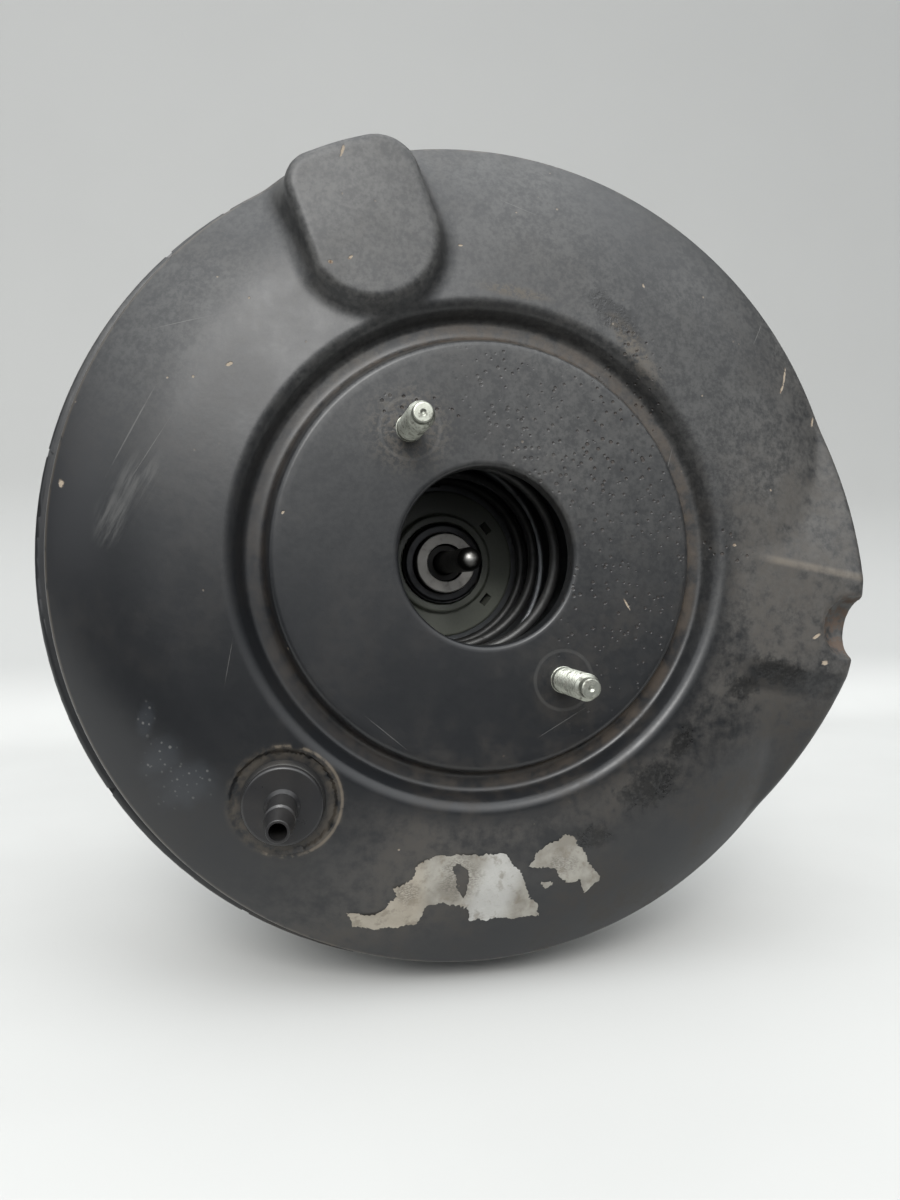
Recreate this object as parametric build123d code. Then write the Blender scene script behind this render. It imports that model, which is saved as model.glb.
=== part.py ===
from build123d import *
from math import atan2, cos, degrees, hypot, pi, radians, sin, tan
import os

# Vacuum brake booster: a single-diaphragm servo between the brake pedal and the
# master cylinder.  Millimetres, +Z up.  The booster's axis is the Y axis: the master
# cylinder side faces -Y, the pedal side +Y.  The origin is the centre of the face that
# bolts against the bulkhead.
#
# Sections are written as (radius, depth), where depth counts rearwards from the flat
# front face that the master cylinder bolts against.

# ---------------------------------------------------------------- driving dimensions
body_depth = 104.0            # front face to bulkhead face
shell_radius = 129.2          # front shell's side wall where it meets the flange
edge_radius = shell_radius - 2.2    # its rounded edge
edge_depth = 14.8             # that edge behind the front face
rim_radius = shell_radius + 5.2     # crimped rim, outside
front_sheet = 1.6             # sheet thickness of the front shell
rear_sheet = 1.5              # sheet thickness of the rear shell
rim_depth = 35.0              # front shell's flange behind the front face
seat_gap = 0.1                # between pressed pieces that lie on each other
slip = 0.3                    # between round pieces of different bodies
running_fit = 0.05            # radial clearance of the guides that bear load

bore_radius = 26.7            # hole for the master cylinder's nose
bore_collar = 6.0             # length of the collar round that hole
disc_radius = 63.8            # flat centre of the front shell
groove_width = 10.9           # round groove outside the flat centre
groove_depth = 6.0
ring_slope = 6.0              # slope of the domed ring next to the groove
edge_slope = 34.0             # and next to the edge
ring_bend = 70.0              # radius of the dome between the two
bend_share = 0.95             # most of the outer slope that this bend may take
edge_rounding = 1.8

master_stud_gap = 11.0        # return spring's outside to the studs' middle
master_stud_angle = 122.3     # first stud, from +X towards +Z
stud_radius = 3.95            # M8 thread, outside
master_stud_length = 21.4
dog_point = (2.9, 2.6)        # radius and length of the lead-in point

bulkhead_stud_spacing = (80.0, 70.0)
bulkhead_stud_length = 25.0

valve_radius = 93.0           # check valve's distance from the axis
valve_angle = 229.8
valve_recess = (15.0, 1.5)    # radius and depth of the round seat in the shell
port_radius = 4.3             # vacuum port's plain stretch
port_bore = 2.45
port_length = 24.0            # port's tip in front of the shell

pad_top = -3.5                # raised pad's face (negative: in front of the face)
pad_corners = [(-58.7, 108.7), (-29.3, 120.0), (-13.8, 87.1), (-31.8, 73.0), (-50.1, 81.6)]
pad_corner_radii = [6.5, 10.0, 11.0, 9.0, 2.5]
pad_edge = 1.8                # rounding round the pad's flat face
pad_root = 3.2                # rounding at the foot of its walls

saddle_angle = -10.3          # flat saddle that runs out to the rim
saddle_half_width = 16.1
saddle_top = 1.2              # saddle's depth at the groove
saddle_tilt = 0.8             # its rise towards the rim, in degrees
saddle_flank = 14.3           # slope of its wide flanks, in degrees
saddle_reach = 76.0           # foot of the flanks from the saddle's middle line
saddle_edge = 3.5             # rounding along its sides
saddle_rim_edge = 2.4         # rounding where it meets the side wall
scoop_radius = 9.5            # round scoop in the saddle's end
scoop_place = (3.5, -6.0)     # its centre inside the edge, and the depth of that point
scoop_slant = 22.0            # lean of its axis, outwards towards the rear
boss_setback = 0.2            # pad and saddle behind the edge

piston_stroke = 36.0
plunger_travel = 2.5
tube_radius = 19.5            # power piston's rear tube
tube_wall = 3.3
spring_wire = 3.6
spring_inner_radius = bore_radius + 2.7
master_stud_place = spring_inner_radius + spring_wire + master_stud_gap
spring_coils = 4.75
rod_tip_depth = 22.6          # output rod's tip behind the front face
plate_sheet = 1.2
membrane = 2.0                # diaphragm's thickness
arcs_per_turn = 6             # arcs in one turn of a spring

clevis_pin_reach = 136.0      # clevis pin's centre behind the bulkhead face
clevis_pin_radius = 5.0
input_rod_radius = 4.5
clevis_thread_radius = 4.9    # M10

# ------------------------------------------------------------------- shared helpers


def at(radius, depth):
    """A point of a turned section: radius from the axis, depth behind the front face."""
    return (radius, depth - body_depth)


def section(*points, radii=0.0):
    """Closed face with the given (radius, depth) corners, each rounded by its radius."""
    corners = [at(r, d) for r, d in points]
    return make_face(FilletPolyline(*corners, radius=radii, close=True))


def turned(*points, radii=0.0):
    """Solid of revolution of a closed section."""
    return revolve(section(*points, radii=radii), axis=Axis.Y)


def ring(inner, outer, front, back):
    """Plain ring or, with an inner radius of zero, a plain disc."""
    return turned((inner, front), (outer, front), (outer, back), (inner, back))


def pressed(points, radii, sheet):
    """Turned sheet metal or rubber wall: a middle line given a thickness and revolved."""
    line = FilletPolyline(*[at(r, d) for r, d in points], radius=radii)
    return revolve(trace(line, sheet), axis=Axis.Y)


def front_plane(depth, x=0.0, z=0.0):
    """Plane that faces the front, with its own x along X and its own y along Z."""
    return Plane(origin=(x, depth - body_depth, z), x_dir=(1, 0, 0), z_dir=(0, -1, 0))


def on_circle(radius, angle):
    """X and Z of a point on a circle about the axis."""
    return radius * cos(radians(angle)), radius * sin(radians(angle))


def around(solid, angle):
    """The solid turned about the booster's axis, from +X towards +Z."""
    return solid.rotate(Axis.Y, -angle)


def spring(radius, wire, low, high, turns):
    """Compression spring along Z: round wire bent in tangent arcs, six to a turn.

    Its end coils are nearly closed: height follows t - 0.72 sin(2 pi t) / (2 pi)."""
    steps = int(turns * arcs_per_turn)
    rise = high - low - wire
    points = []
    for step in range(steps + 1):
        t = step / steps
        x, y = on_circle(radius, 360 * turns * t)
        points.append(Vector(x, y, low + wire / 2 + rise * (t - 0.72 * sin(2 * pi * t) / (2 * pi))))
    half = pi * turns / steps
    slope = (points[1] - points[0]).Z * cos(half) / (2 * radius * sin(half))
    tangent = Vector(0, 1, slope)
    arcs = []
    for near, far in zip(points, points[1:]):
        arc = TangentArc(near, far, tangent=tangent)
        arcs.append(arc)
        tangent = arc % 1
    path = Wire(arcs)
    start = Plane(origin=path @ 0, z_dir=path % 0)
    return sweep(start * Circle(wire / 2), path=path)


def axial_spring(radius, wire, front, back, turns):
    """Spring about the booster's axis, between two depths."""
    depths = Plane(origin=(0, -body_depth, 0), x_dir=(1, 0, 0), z_dir=(0, 1, 0))
    return depths * spring(radius, wire, front, back, turns)


# ---------------------------------------------------------------- front shell
groove_inner_wall = 1.8
groove_outer_wall = 3.6
lip_radius = disc_radius + groove_width
front_flange_radius = rim_radius - rear_sheet - seat_gap
front_flange_end = rim_depth + 5.4


def front_depth(radius):
    """Depth of the ring's surface at a radius on its inner, straight part."""
    return (radius - lip_radius) * tan(radians(ring_slope))


def ring_corner():
    """Where the ring's inner slope and the slope at its edge would meet."""
    inner, outer = tan(radians(ring_slope)), tan(radians(edge_slope))
    radius = (edge_radius * outer - lip_radius * inner - edge_depth) / (outer - inner)
    return radius, front_depth(radius)


def bend_radius():
    """Radius of the bend between the ring's two slopes, as large as the outer slope allows."""
    radius, depth = ring_corner()
    outer = hypot(edge_radius - radius, edge_depth - depth)
    return min(ring_bend, bend_share * outer / tan(radians(edge_slope - ring_slope) / 2))


def front_dome(inset):
    """Everything behind the pressed front, moved inwards by inset."""
    reach = 40
    outline = section(
        (-reach, 0),
        (disc_radius, 0),
        (disc_radius + groove_inner_wall, groove_depth),
        (lip_radius - groove_outer_wall, groove_depth),
        (lip_radius, 0),
        ring_corner(),
        (edge_radius, edge_depth),
        (shell_radius, rim_depth),
        (front_flange_radius, rim_depth),
        (front_flange_radius, rim_depth + reach),
        (-reach, rim_depth + reach),
        radii=[0, 1.7, 1.9, 1.9, 3.4, bend_radius(), edge_rounding, 1.2, 2.0, 0, 0],
    )
    if inset:
        outline = offset(outline, amount=-inset)
    window = make_face(
        Polyline(
            at(0, -reach), at(rim_radius + reach, -reach),
            at(rim_radius + reach, front_flange_end + inset), at(0, front_flange_end + inset),
            close=True,
        )
    )
    return revolve(outline & window, axis=Axis.Y)


def pad(inset):
    """Raised pad near the rim: a five-cornered boss with a flat face."""
    flat = make_face(FilletPolyline(*pad_corners, radius=pad_corner_radii, close=True))
    outline = offset(flat, amount=pad_edge - inset)
    boss = extrude(front_plane(pad_top + inset) * outline, amount=-(rim_depth - pad_top - 3), taper=-6)
    return boss & ring(0, edge_radius - boss_setback - inset, pad_top - 5, rim_depth - 2)


def saddle(inset):
    """Flat radial saddle from the groove to the rim, between two wide sloping flanks."""
    inner, outer = lip_radius + 4, edge_radius - boss_setback - inset
    foot = saddle_top + (saddle_reach - saddle_half_width) * tan(radians(saddle_flank))
    roof = make_face(
        FilletPolyline(
            (-saddle_reach, rim_depth), (-saddle_reach, foot), (-saddle_half_width, saddle_top),
            (saddle_half_width, saddle_top), (saddle_reach, foot), (saddle_reach, rim_depth),
            radius=[0, 0, saddle_edge, saddle_edge, 0, 0], close=True,
        )
    )
    if inset:
        roof = offset(roof, amount=-inset)
    tilt = radians(saddle_tilt)
    start = Plane(origin=(inner, -body_depth, 0), x_dir=(0, 0, -1), z_dir=(cos(tilt), -sin(tilt), 0))
    boss = extrude(start * roof, amount=edge_radius)
    boss = boss & ring(0, outer, -5, rim_depth - 2)
    rim = boss.edges().filter_by(
        lambda e: abs(hypot((e @ 0.5).X, (e @ 0.5).Z) - outer) < 0.1 and (e @ 0.5).Y < edge_depth - body_depth
    )
    return around(fillet(rim, saddle_rim_edge - inset), saddle_angle)


def scoop(inset):
    """Slanting round cutter that leaves the scoop in the saddle's end."""
    inside, depth = scoop_place
    slant = radians(scoop_slant)
    start = Plane(
        origin=(edge_radius - inside, depth - body_depth, 0), x_dir=(0, 0, 1), z_dir=(sin(slant), cos(slant), 0)
    )
    cutter = extrude(start * Circle(scoop_radius + inset), amount=rim_depth - 1)
    return around(cutter, saddle_angle)


def valve_frame(height=0.0):
    """Plane on the sloping ring at the check valve; its z points out of the shell."""
    x, z = on_circle(valve_radius, valve_angle)
    slope, turn = radians(ring_slope), radians(valve_angle)
    out = (sin(slope) * cos(turn), -cos(slope), sin(slope) * sin(turn))
    base = Plane(origin=(x, front_depth(valve_radius) - body_depth, z), x_dir=(0, 0, 1), z_dir=out)
    return base.offset(height)


def valve_seat(inset):
    """Round recess that the check valve's grommet sits in."""
    radius, depth = valve_recess
    return extrude(valve_frame(8) * Circle(radius + inset), amount=-(8 + depth + inset))


def front_body(inset):
    """The front shell's outside form, moved inwards by inset."""
    dome, boss = front_dome(inset), pad(inset)
    body = dome + boss
    body = fillet(new_edges(dome, boss, combined=body), pad_root)
    flat = body.faces().sort_by(Axis.Y)[0]
    body = fillet(flat.edges(), max(pad_edge - inset, 0.3))
    return body + saddle(inset) - scoop(inset) - valve_seat(inset)


stud_hole_radius = stud_radius + 0.65
grommet_neck = 9.1


def make_front_shell():
    """Pressed front shell with its collar, stud holes and check valve hole."""
    shell = front_body(0) - front_body(front_sheet)
    collar = ring(bore_radius, bore_radius + front_sheet, front_sheet / 2, bore_collar)
    shell = shell + collar - ring(0, bore_radius, -5, bore_collar + 1)
    lip = shell.edges().filter_by(GeomType.CIRCLE).filter_by(
        lambda e: abs(e.radius - bore_radius) < 0.01 and e.center().Y < 0.1 - body_depth
    )
    shell = fillet(lip, front_sheet * 0.9)
    for turn in (0, 180):
        x, z = on_circle(master_stud_place, master_stud_angle + turn)
        shell -= extrude(front_plane(-2, x, z) * Circle(stud_hole_radius), amount=-8)
    shell -= extrude(valve_frame(4) * Circle(grommet_neck + seat_gap), amount=-14)
    return shell


# ---------------------------------------------------------------- rear shell
rim_front = rim_depth - seat_gap - rear_sheet     # front of the crimped lobes
shelf_depth = front_flange_end + seat_gap         # front of the ledge behind the flange
skirt_radius = shell_radius - 3.7                 # middle of the rear shell's side wall
bulkhead_pad_radius = 66.0
rear_corner = (skirt_radius - 1.5, body_depth - 27.0)
neck_radius = tube_radius + 4.0                   # inside of the neck
neck_end = body_depth + 22.0
lobe_notches = [105, 125, 134.9, 166.2, 212.8, 237.6, 254.4, 285, 310, 335, 0, 25, 55, 80]
notch_width, notch_depth = 4.4, 3.4


def make_rear_shell():
    """Pressed rear shell: crimped rim, skirt, cone, bulkhead pad and neck."""
    half = rear_sheet / 2
    line = [
        (shell_radius + 1.4, rim_front + half),
        (rim_radius - half, rim_front + half),
        (rim_radius - half, shelf_depth + half),
        (skirt_radius, shelf_depth + half),
        rear_corner,
        (bulkhead_pad_radius, body_depth - half),
        (neck_radius + half, body_depth - half),
        (neck_radius + half, neck_end),
    ]
    shell = pressed(line, [1.2, 0.9, 2.4, 18.0, 9.0, 3.5], rear_sheet)
    notch_place = (rim_radius + 1, rim_front - 1 - body_depth, 0)
    half_notch = notch_width / 2
    notch = make_face(Polyline((0, half_notch), (0, -half_notch), (-notch_depth, 0), close=True))
    notch = Plane(origin=notch_place, x_dir=(1, 0, 0), z_dir=(0, 1, 0)) * notch
    for angle in lobe_notches:
        shell -= around(extrude(notch, amount=rear_sheet + 2.1), angle)
    for x, z in bulkhead_stud_places():
        shell -= extrude(front_plane(body_depth - 4, x, z) * Circle(stud_hole_radius), amount=-8)
    return shell


def bulkhead_stud_places():
    """X and Z of the four bulkhead studs."""
    wide, high = bulkhead_stud_spacing
    return [(sx * wide / 2, sz * high / 2) for sx in (-1, 1) for sz in (-1, 1)]


# ---------------------------------------------------------------- reinforcements, studs
front_plate = 2.2
front_plate_back = front_sheet + seat_gap + front_plate
rear_plate = 2.4
rear_plate_front = body_depth - rear_sheet - seat_gap - rear_plate
stud_head_radius = 7.6
stud_head = 2.6


def make_front_reinforcement():
    """Thick plate behind the flat centre, with a lip that centres the return spring."""
    inner = bore_radius + front_sheet + 0.4
    outer = disc_radius - front_sheet - 1.8
    front = front_sheet + seat_gap
    lip_inner = spring_inner_radius + spring_wire + 0.6
    plate = turned(
        (inner, front), (outer, front), (outer, front + 7), (outer - front_plate, front + 7),
        (outer - front_plate, front_plate_back), (lip_inner + 1.8, front_plate_back),
        (lip_inner + 1.8, front_plate_back + 4), (lip_inner, front_plate_back + 4),
        (lip_inner, front_plate_back), (inner, front_plate_back),
        radii=[0, 2.6, 0.6, 0.6, 1.5, 1.2, 0.6, 0.6, 0, 0],
    )
    for turn in (0, 180):
        x, z = on_circle(master_stud_place, master_stud_angle + turn)
        plate -= extrude(front_plane(0, x, z) * Circle(stud_hole_radius), amount=-8)
    return plate


def make_rear_reinforcement():
    """Plate that spreads the bulkhead studs' load inside the rear shell."""
    outer = bulkhead_pad_radius - 3.5
    plate = turned(
        (neck_radius + 6, rear_plate_front), (outer, rear_plate_front),
        (outer, rear_plate_front + rear_plate), (neck_radius + 6, rear_plate_front + rear_plate),
        radii=[0.8, 0.8, 0.8, 0.8],
    )
    for x, z in bulkhead_stud_places():
        plate -= extrude(front_plane(body_depth - 8, x, z) * Circle(stud_hole_radius), amount=-8)
    return plate


def stud(thread_length, grip):
    """One stud along its own z: head below, shank through the sheets, thread, dog point."""
    point_radius, point_length = dog_point
    bevel = 0.5
    half = [
        (0, -grip - stud_head), (stud_head_radius, -grip - stud_head), (stud_head_radius, -grip),
        (stud_radius + 0.45, -grip), (stud_radius + 0.45, 0), (stud_radius, 0),
        (stud_radius, thread_length - 1.0),
        (point_radius, thread_length), (point_radius, thread_length + point_length - bevel),
        (point_radius - bevel, thread_length + point_length), (0, thread_length + point_length),
    ]
    return revolve(Plane.XZ * make_face(Polyline(*half, close=True)), axis=Axis.Z)


def make_master_cylinder_studs():
    """The two studs that carry the master cylinder."""
    grip = front_plate_back + seat_gap / 2
    studs = []
    for turn in (0, 180):
        x, z = on_circle(master_stud_place, master_stud_angle + turn)
        studs.append(front_plane(0, x, z) * stud(master_stud_length, grip))
    return Compound(children=studs)


def make_bulkhead_studs():
    """The four studs that hold the booster on the bulkhead."""
    grip = body_depth - rear_plate_front + seat_gap / 2
    studs = []
    for x, z in bulkhead_stud_places():
        back = Plane(origin=(x, 0, z), x_dir=(1, 0, 0), z_dir=(0, 1, 0))
        studs.append(back * stud(bulkhead_stud_length - dog_point[1], grip))
    return Compound(children=studs)


# ---------------------------------------------------------------- check valve
recess_floor = -valve_recess[1]
grommet_bore = 6.6
valve_flange = (1.3, 3.7)        # heights of the valve body's flange
chamber_radius = 5.0
chamber = (-9.5, 2.0)            # heights of the chamber's ends
valve_base_top = -7.0
valve_disc = 1.5                 # thickness of the valve disc


def valve_turned(*points, radii=0.0):
    """Solid turned about the check valve's own axis, from (radius, height) corners."""
    face = make_face(FilletPolyline(*points, radius=radii, close=True))
    return valve_frame() * revolve(Plane.XZ * face, axis=Axis.Z)


def make_check_valve_grommet():
    """Rubber grommet clipped into the shell's hole."""
    floor, under = recess_floor, recess_floor - front_sheet
    return valve_turned(
        (grommet_bore, 1.2), (11.6, 1.2), (12.2, floor), (grommet_neck, floor),
        (grommet_neck, under - 0.1), (11.2, under - 0.3), (9.6, under - 3.4), (grommet_bore, under - 3.4),
        radii=[0.4, 1.0, 0, 0, 0, 0.8, 0.8, 0],
    )


def make_check_valve_body():
    """Moulded valve body: snap barrel, flange and barbed hose port."""
    low, high = chamber
    under = recess_floor - front_sheet - 3.4
    tip = port_length
    outside = valve_turned(
        (0, low), (grommet_bore - 0.2, low), (grommet_bore + 0.9, under - 1.4),
        (grommet_bore + 0.9, under - 0.2), (grommet_bore - 0.2, under - 0.2),
        (grommet_bore - 0.2, valve_flange[0]), (11.6, valve_flange[0]), (11.6, valve_flange[1]),
        (port_radius + 0.9, valve_flange[1]), (port_radius, valve_flange[1] + 1.2),
        (port_radius, tip - 9.4), (port_radius - 0.6, tip - 9.0), (port_radius - 0.6, tip - 7.4),
        (port_radius - 0.05, tip - 7.0), (port_radius - 1.1, tip), (0, tip),
        radii=[0, 0.3, 0.3, 0.3, 0, 0, 0.5, 0.8, 0, 0, 0, 0, 0, 0.1, 0.3, 0],
    )
    hollow = valve_turned((0, low - 1), (chamber_radius, low - 1), (chamber_radius, high), (0, high))
    passage = valve_turned((0, high - 1), (port_bore, high - 1), (port_bore, tip + 1), (0, tip + 1))
    return outside - hollow - passage


def make_check_valve_base():
    """Snap-in base with the round seat that the valve disc closes on."""
    low = chamber[0] + 0.2
    bore, outer = 2.2, chamber_radius - seat_gap
    web = valve_base_top - 0.6
    return valve_turned(
        (bore, low), (outer, low), (outer, web), (bore + 1.2, web), (bore + 0.9, valve_base_top),
        (bore + 0.3, valve_base_top), (bore, web),
    )


def make_check_valve_disc():
    """Rubber valve disc with its guide stem."""
    low = valve_base_top
    edge, stem = chamber_radius - 0.9, 1.3
    return valve_turned(
        (0, low), (edge, low), (edge, low + valve_disc), (stem, low + valve_disc), (stem, low + 4.6),
        (0, low + 4.6),
        radii=[0, 0.4, 0.4, 0, 0.4, 0],
    )


def make_check_valve_spring():
    """Light spring that closes the valve disc."""
    low, high = valve_base_top + valve_disc + 0.05, chamber[1] - 0.05
    return valve_frame() * spring(2.9, 0.5, low, high, 4.0)


# ---------------------------------------------------------------- power piston
face_depth = body_depth - 27.0       # valve body's front face
plate_depth = face_depth + 4.3       # diaphragm plate's front at the hub
hub_radius = 18.2
hub_front = face_depth - 3.0
hub_bore = 15.4
hub_floor = face_depth + 5.0
flange_radius = 27.9
nose_radius = 12.4
nose_front = face_depth + 2.4
groove_floor = 22.0                  # diaphragm bead's seat in the valve body
bead_back = face_depth + 10.2
bead_flange = (26.0, 3.2)            # radius and thickness of the flange behind the bead
guide_radius = 7.65                  # plunger's guide bore
guide_back = face_depth + 20.4
vacuum_seat = face_depth + 26.1
seat_inner, seat_outer = 12.0, 13.9
tube_bore = tube_radius - tube_wall
tube_end = body_depth + 62.0
key_front, key_thickness, key_width = face_depth + 15.0, 2.6, 17.0
key_mouth, key_reach = 5.5, 22.5     # half of the fork's gap and of its length
plunger_neck = 5.2
passage_angles = [38, 142, 218, 322]
passage_section = (4.6, 2.6)


def make_valve_body():
    """Moulded power piston: hub, flange, control valve bore and rear tube."""
    flange_edge, flange_thickness = bead_flange
    outside = turned(
        (0, nose_front), (nose_radius, nose_front), (nose_radius, hub_floor), (hub_bore, hub_floor),
        (hub_bore, hub_front), (hub_radius, hub_front), (hub_radius + 0.6, face_depth),
        (flange_radius, face_depth), (flange_radius, plate_depth - seat_gap),
        (groove_floor, plate_depth - seat_gap), (groove_floor, bead_back), (flange_edge, bead_back),
        (flange_edge, bead_back + flange_thickness), (tube_radius + 2, face_depth + 21),
        (tube_radius, face_depth + 24), (tube_radius, tube_end), (0, tube_end),
        radii=[0, 0.6, 0.5, 0.5, 0.6, 0.8, 1.0, 1.0, 0, 0.6, 0.6, 0.8, 1.0, 2.0, 0.8, 0.8, 0],
    )
    seat_front, seat_bevel = 2.4, 0.6
    bore = turned(
        (0, nose_front - 1), (guide_radius, nose_front - 1), (guide_radius, guide_back),
        (seat_inner, guide_back + 1.2), (seat_inner, vacuum_seat - seat_bevel),
        (seat_inner + 0.4, vacuum_seat), (seat_outer - 0.4, vacuum_seat),
        (seat_outer, vacuum_seat - seat_bevel), (seat_outer, vacuum_seat - seat_front),
        (tube_bore, vacuum_seat - seat_front), (tube_bore, tube_end + 1), (0, tube_end + 1),
    )
    body = outside - bore
    entry, clear = hub_radius + 4.4, 0.6
    for angle in passage_angles:
        slant = atan2(entry - (seat_outer + 1.1), vacuum_seat - face_depth)
        start = Plane(
            origin=(entry + clear, face_depth - 3 - body_depth, 0),
            x_dir=(0, 0, 1),
            z_dir=(-sin(slant), cos(slant), 0),
        )
        duct = extrude(start * Rectangle(*passage_section), amount=vacuum_seat - face_depth + 3.4)
        body -= around(duct, angle)
    slot = Box(
        key_width + 2 * slip, slip + key_thickness + plunger_travel + slip, 4 * tube_radius,
        align=(Align.CENTER, Align.MIN, Align.CENTER),
    )
    return body - Pos(0, key_front - slip - body_depth, 0) * slot


# middle line of the diaphragm plate: hub, foot and top of its step, cone, outer edge
plate_mid = plate_depth + plate_sheet / 2
plate_line = [
    (groove_floor + 0.6, plate_mid), (42.0, plate_mid), (51.0, plate_depth - 15.3),
    (72.0, plate_depth - 17.3), (shell_radius - 21.2, plate_depth - 18.9),
    (shell_radius - 16.6, plate_depth - 23.8),
]
plate_bends = [4.0, 5.0, 20.0, 4.0]


def behind_plate(gap):
    """The plate's inner corners moved back, square to its walls, by the gap."""
    walls = []
    for (r, d), (far_r, far_d) in zip(plate_line[:4], plate_line[1:5]):
        length = hypot(far_r - r, far_d - d)
        walls.append(((far_d - d) / length, -(far_r - r) / length, r, d))
    corners = []
    for (a, b, r, d), (c, e, far_r, far_d) in zip(walls, walls[1:]):
        first = a * r + b * d - gap
        second = c * far_r + e * far_d - gap
        across = a * e - b * c
        corners.append(((first * e - second * b) / across, (a * second - c * first) / across))
    return corners


def make_diaphragm_plate():
    """Pressed plate that carries the diaphragm and seats the return spring."""
    return pressed(plate_line, plate_bends, plate_sheet)


head_radius = 14.0
head_front, head_back = face_depth - 4.4, face_depth + 3.6
cup_radius, cup_floor = 12.6, face_depth - 1.5
collar_radius, collar_front = 11.1, face_depth - 10.9    # flat ring round the rod, on the head
collar_bore, collar_floor = 6.9, face_depth - 7.6        # annular recess in that ring
rod_radius = 4.0
keeper_front = face_depth - 6.0


def make_output_rod():
    """Output rod: round tip, shank, collar and the cup over the reaction disc."""
    rod = turned(
        (0, rod_tip_depth + rod_radius), (rod_radius, rod_tip_depth + rod_radius), (rod_radius, collar_floor),
        (collar_bore, collar_floor), (collar_bore, collar_front), (collar_radius, collar_front),
        (collar_radius, head_front), (head_radius, head_front),
        (head_radius, head_back), (cup_radius, head_back), (cup_radius, cup_floor), (0, cup_floor),
        radii=[0, 0, 0.8, 0.5, 0.3, 0.5, 0.5, 0.6, 0.4, 0.4, 0, 0],
    )
    tip = Pos(0, rod_tip_depth + rod_radius - body_depth, 0) * Sphere(rod_radius)
    return rod + tip


def make_rod_retainer():
    """Pressed ring that keeps the output rod's head in the hub."""
    sheet = 0.7
    front = keeper_front + sheet / 2
    line = [(collar_radius + 0.8, front), (hub_bore - 0.65, front), (hub_bore - 0.65, nose_front)]
    return pressed(line, [1.0], sheet)


def make_reaction_disc():
    """Rubber disc that shares the load between the piston and the plunger."""
    edge, back = cup_radius - seat_gap, nose_front - seat_gap
    return turned(
        (0, cup_floor), (edge, cup_floor), (edge, back), (0, back),
        radii=[0, 0.3, 0.3, 0],
    )


def make_stop_key():
    """Forked key that straddles the plunger's neck and limits its travel."""
    fork = Rectangle(key_width, 2 * key_reach) - Circle(key_mouth)
    fork -= Rectangle(2 * key_mouth, 2 * key_reach, align=(Align.CENTER, Align.MIN))
    return extrude(front_plane(key_front) * fork, amount=-key_thickness)


foam_radius = tube_bore - 0.2
foam_front, foam_length = tube_end - 23.0, 7.0
filter_front, filter_back = tube_end - 15.8, tube_end - 8.0


def make_air_filter():
    """Felt ring that cleans the air drawn in round the input rod."""
    return ring(7.8, foam_radius, filter_front, filter_back)


def make_silencer():
    """Foam ring in front of the air filter."""
    return ring(8.2, foam_radius, foam_front, foam_front + foam_length)


def make_filter_retainer():
    """Plastic ring that closes the tube's mouth behind the filter."""
    front, wall, web = filter_back + 0.2, 1.6, 1.8
    return turned(
        (9.5, front), (foam_radius, front), (foam_radius, tube_end - 2.5),
        (foam_radius - wall, tube_end - 2.5), (foam_radius - wall, front + web), (9.5, front + web),
        radii=[0.4, 0.3, 0.4, 0.4, 0.8, 0.4],
    )


# ---------------------------------------------------------------- control valve
plunger_radius = guide_radius - running_fit
plunger_nose = nose_front - 0.1 + plunger_travel + slip
air_seat = (8.4, 9.2)                # inner and outer radius of the plunger's air seat
air_seat_flare = 9.6                 # plunger's radius round that seat
poppet_face = vacuum_seat + 0.95
poppet_inner, poppet_outer = 7.3, 15.0
socket_depth = vacuum_seat + 2.4     # centre of the ball joint
ball_radius = 4.6
stem_radius = 6.6
stem_end = socket_depth + 4.9
retainer_depth = socket_depth + 14.5
rod_seat_depth = socket_depth + 28.5


def make_valve_plunger():
    """Control valve plunger: nose, key groove, air seat and ball socket."""
    key_back = key_front + key_thickness + plunger_travel + slip
    seat_in, seat_out = air_seat
    seat_face, seat_root = poppet_face - 0.05, poppet_face - 1.2
    outside = turned(
        (0, plunger_nose), (plunger_radius, plunger_nose), (plunger_radius, key_front - slip),
        (plunger_neck, key_front - slip), (plunger_neck, key_back), (plunger_radius - 0.2, key_back),
        (plunger_radius - 0.2, guide_back + 3.1), (air_seat_flare, guide_back + 4.3),
        (air_seat_flare, poppet_face - 0.8), (seat_out, seat_face), (seat_in, seat_face), (8.0, seat_root),
        (stem_radius, seat_root), (stem_radius, stem_end), (0, stem_end),
        radii=[0, 0.6, 0.3, 0.4, 0.4, 0.3, 0, 0.3, 0, 0, 0, 0, 0, 0.8, 0],
    )
    socket_radius = ball_radius + running_fit
    socket = turned(
        (0, socket_depth), (socket_radius, socket_depth), (socket_radius, socket_depth + 1.9),
        (4.25, socket_depth + 3.9), (5.2, stem_end + 1), (0, stem_end + 1),
    )
    ball_seat = Pos(0, socket_depth - body_depth, 0) * Sphere(socket_radius)
    return outside - socket - ball_seat


def make_poppet():
    """Steel-backed rubber ring that closes on both the air seat and the vacuum seat."""
    return turned(
        (poppet_inner, poppet_face), (poppet_outer, poppet_face), (poppet_outer, poppet_face + 2.4),
        (poppet_outer - 1.8, poppet_face + 3.2), (poppet_inner, poppet_face + 3.2),
        radii=[0.4, 0.5, 0.5, 0.3, 0.4],
    )


def make_poppet_sleeve():
    """Thin folded rubber sleeve between the poppet and its bead in the tube."""
    front = poppet_face + 3.3
    line = [
        (12.2, front), (12.2, front + 5.05), (14.6, front + 7.25), (12.8, front + 9.85),
        (tube_bore - 1.0, retainer_depth - 0.8),
    ]
    return pressed(line, [0.8, 0.6, 0.6], 1.0)


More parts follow.
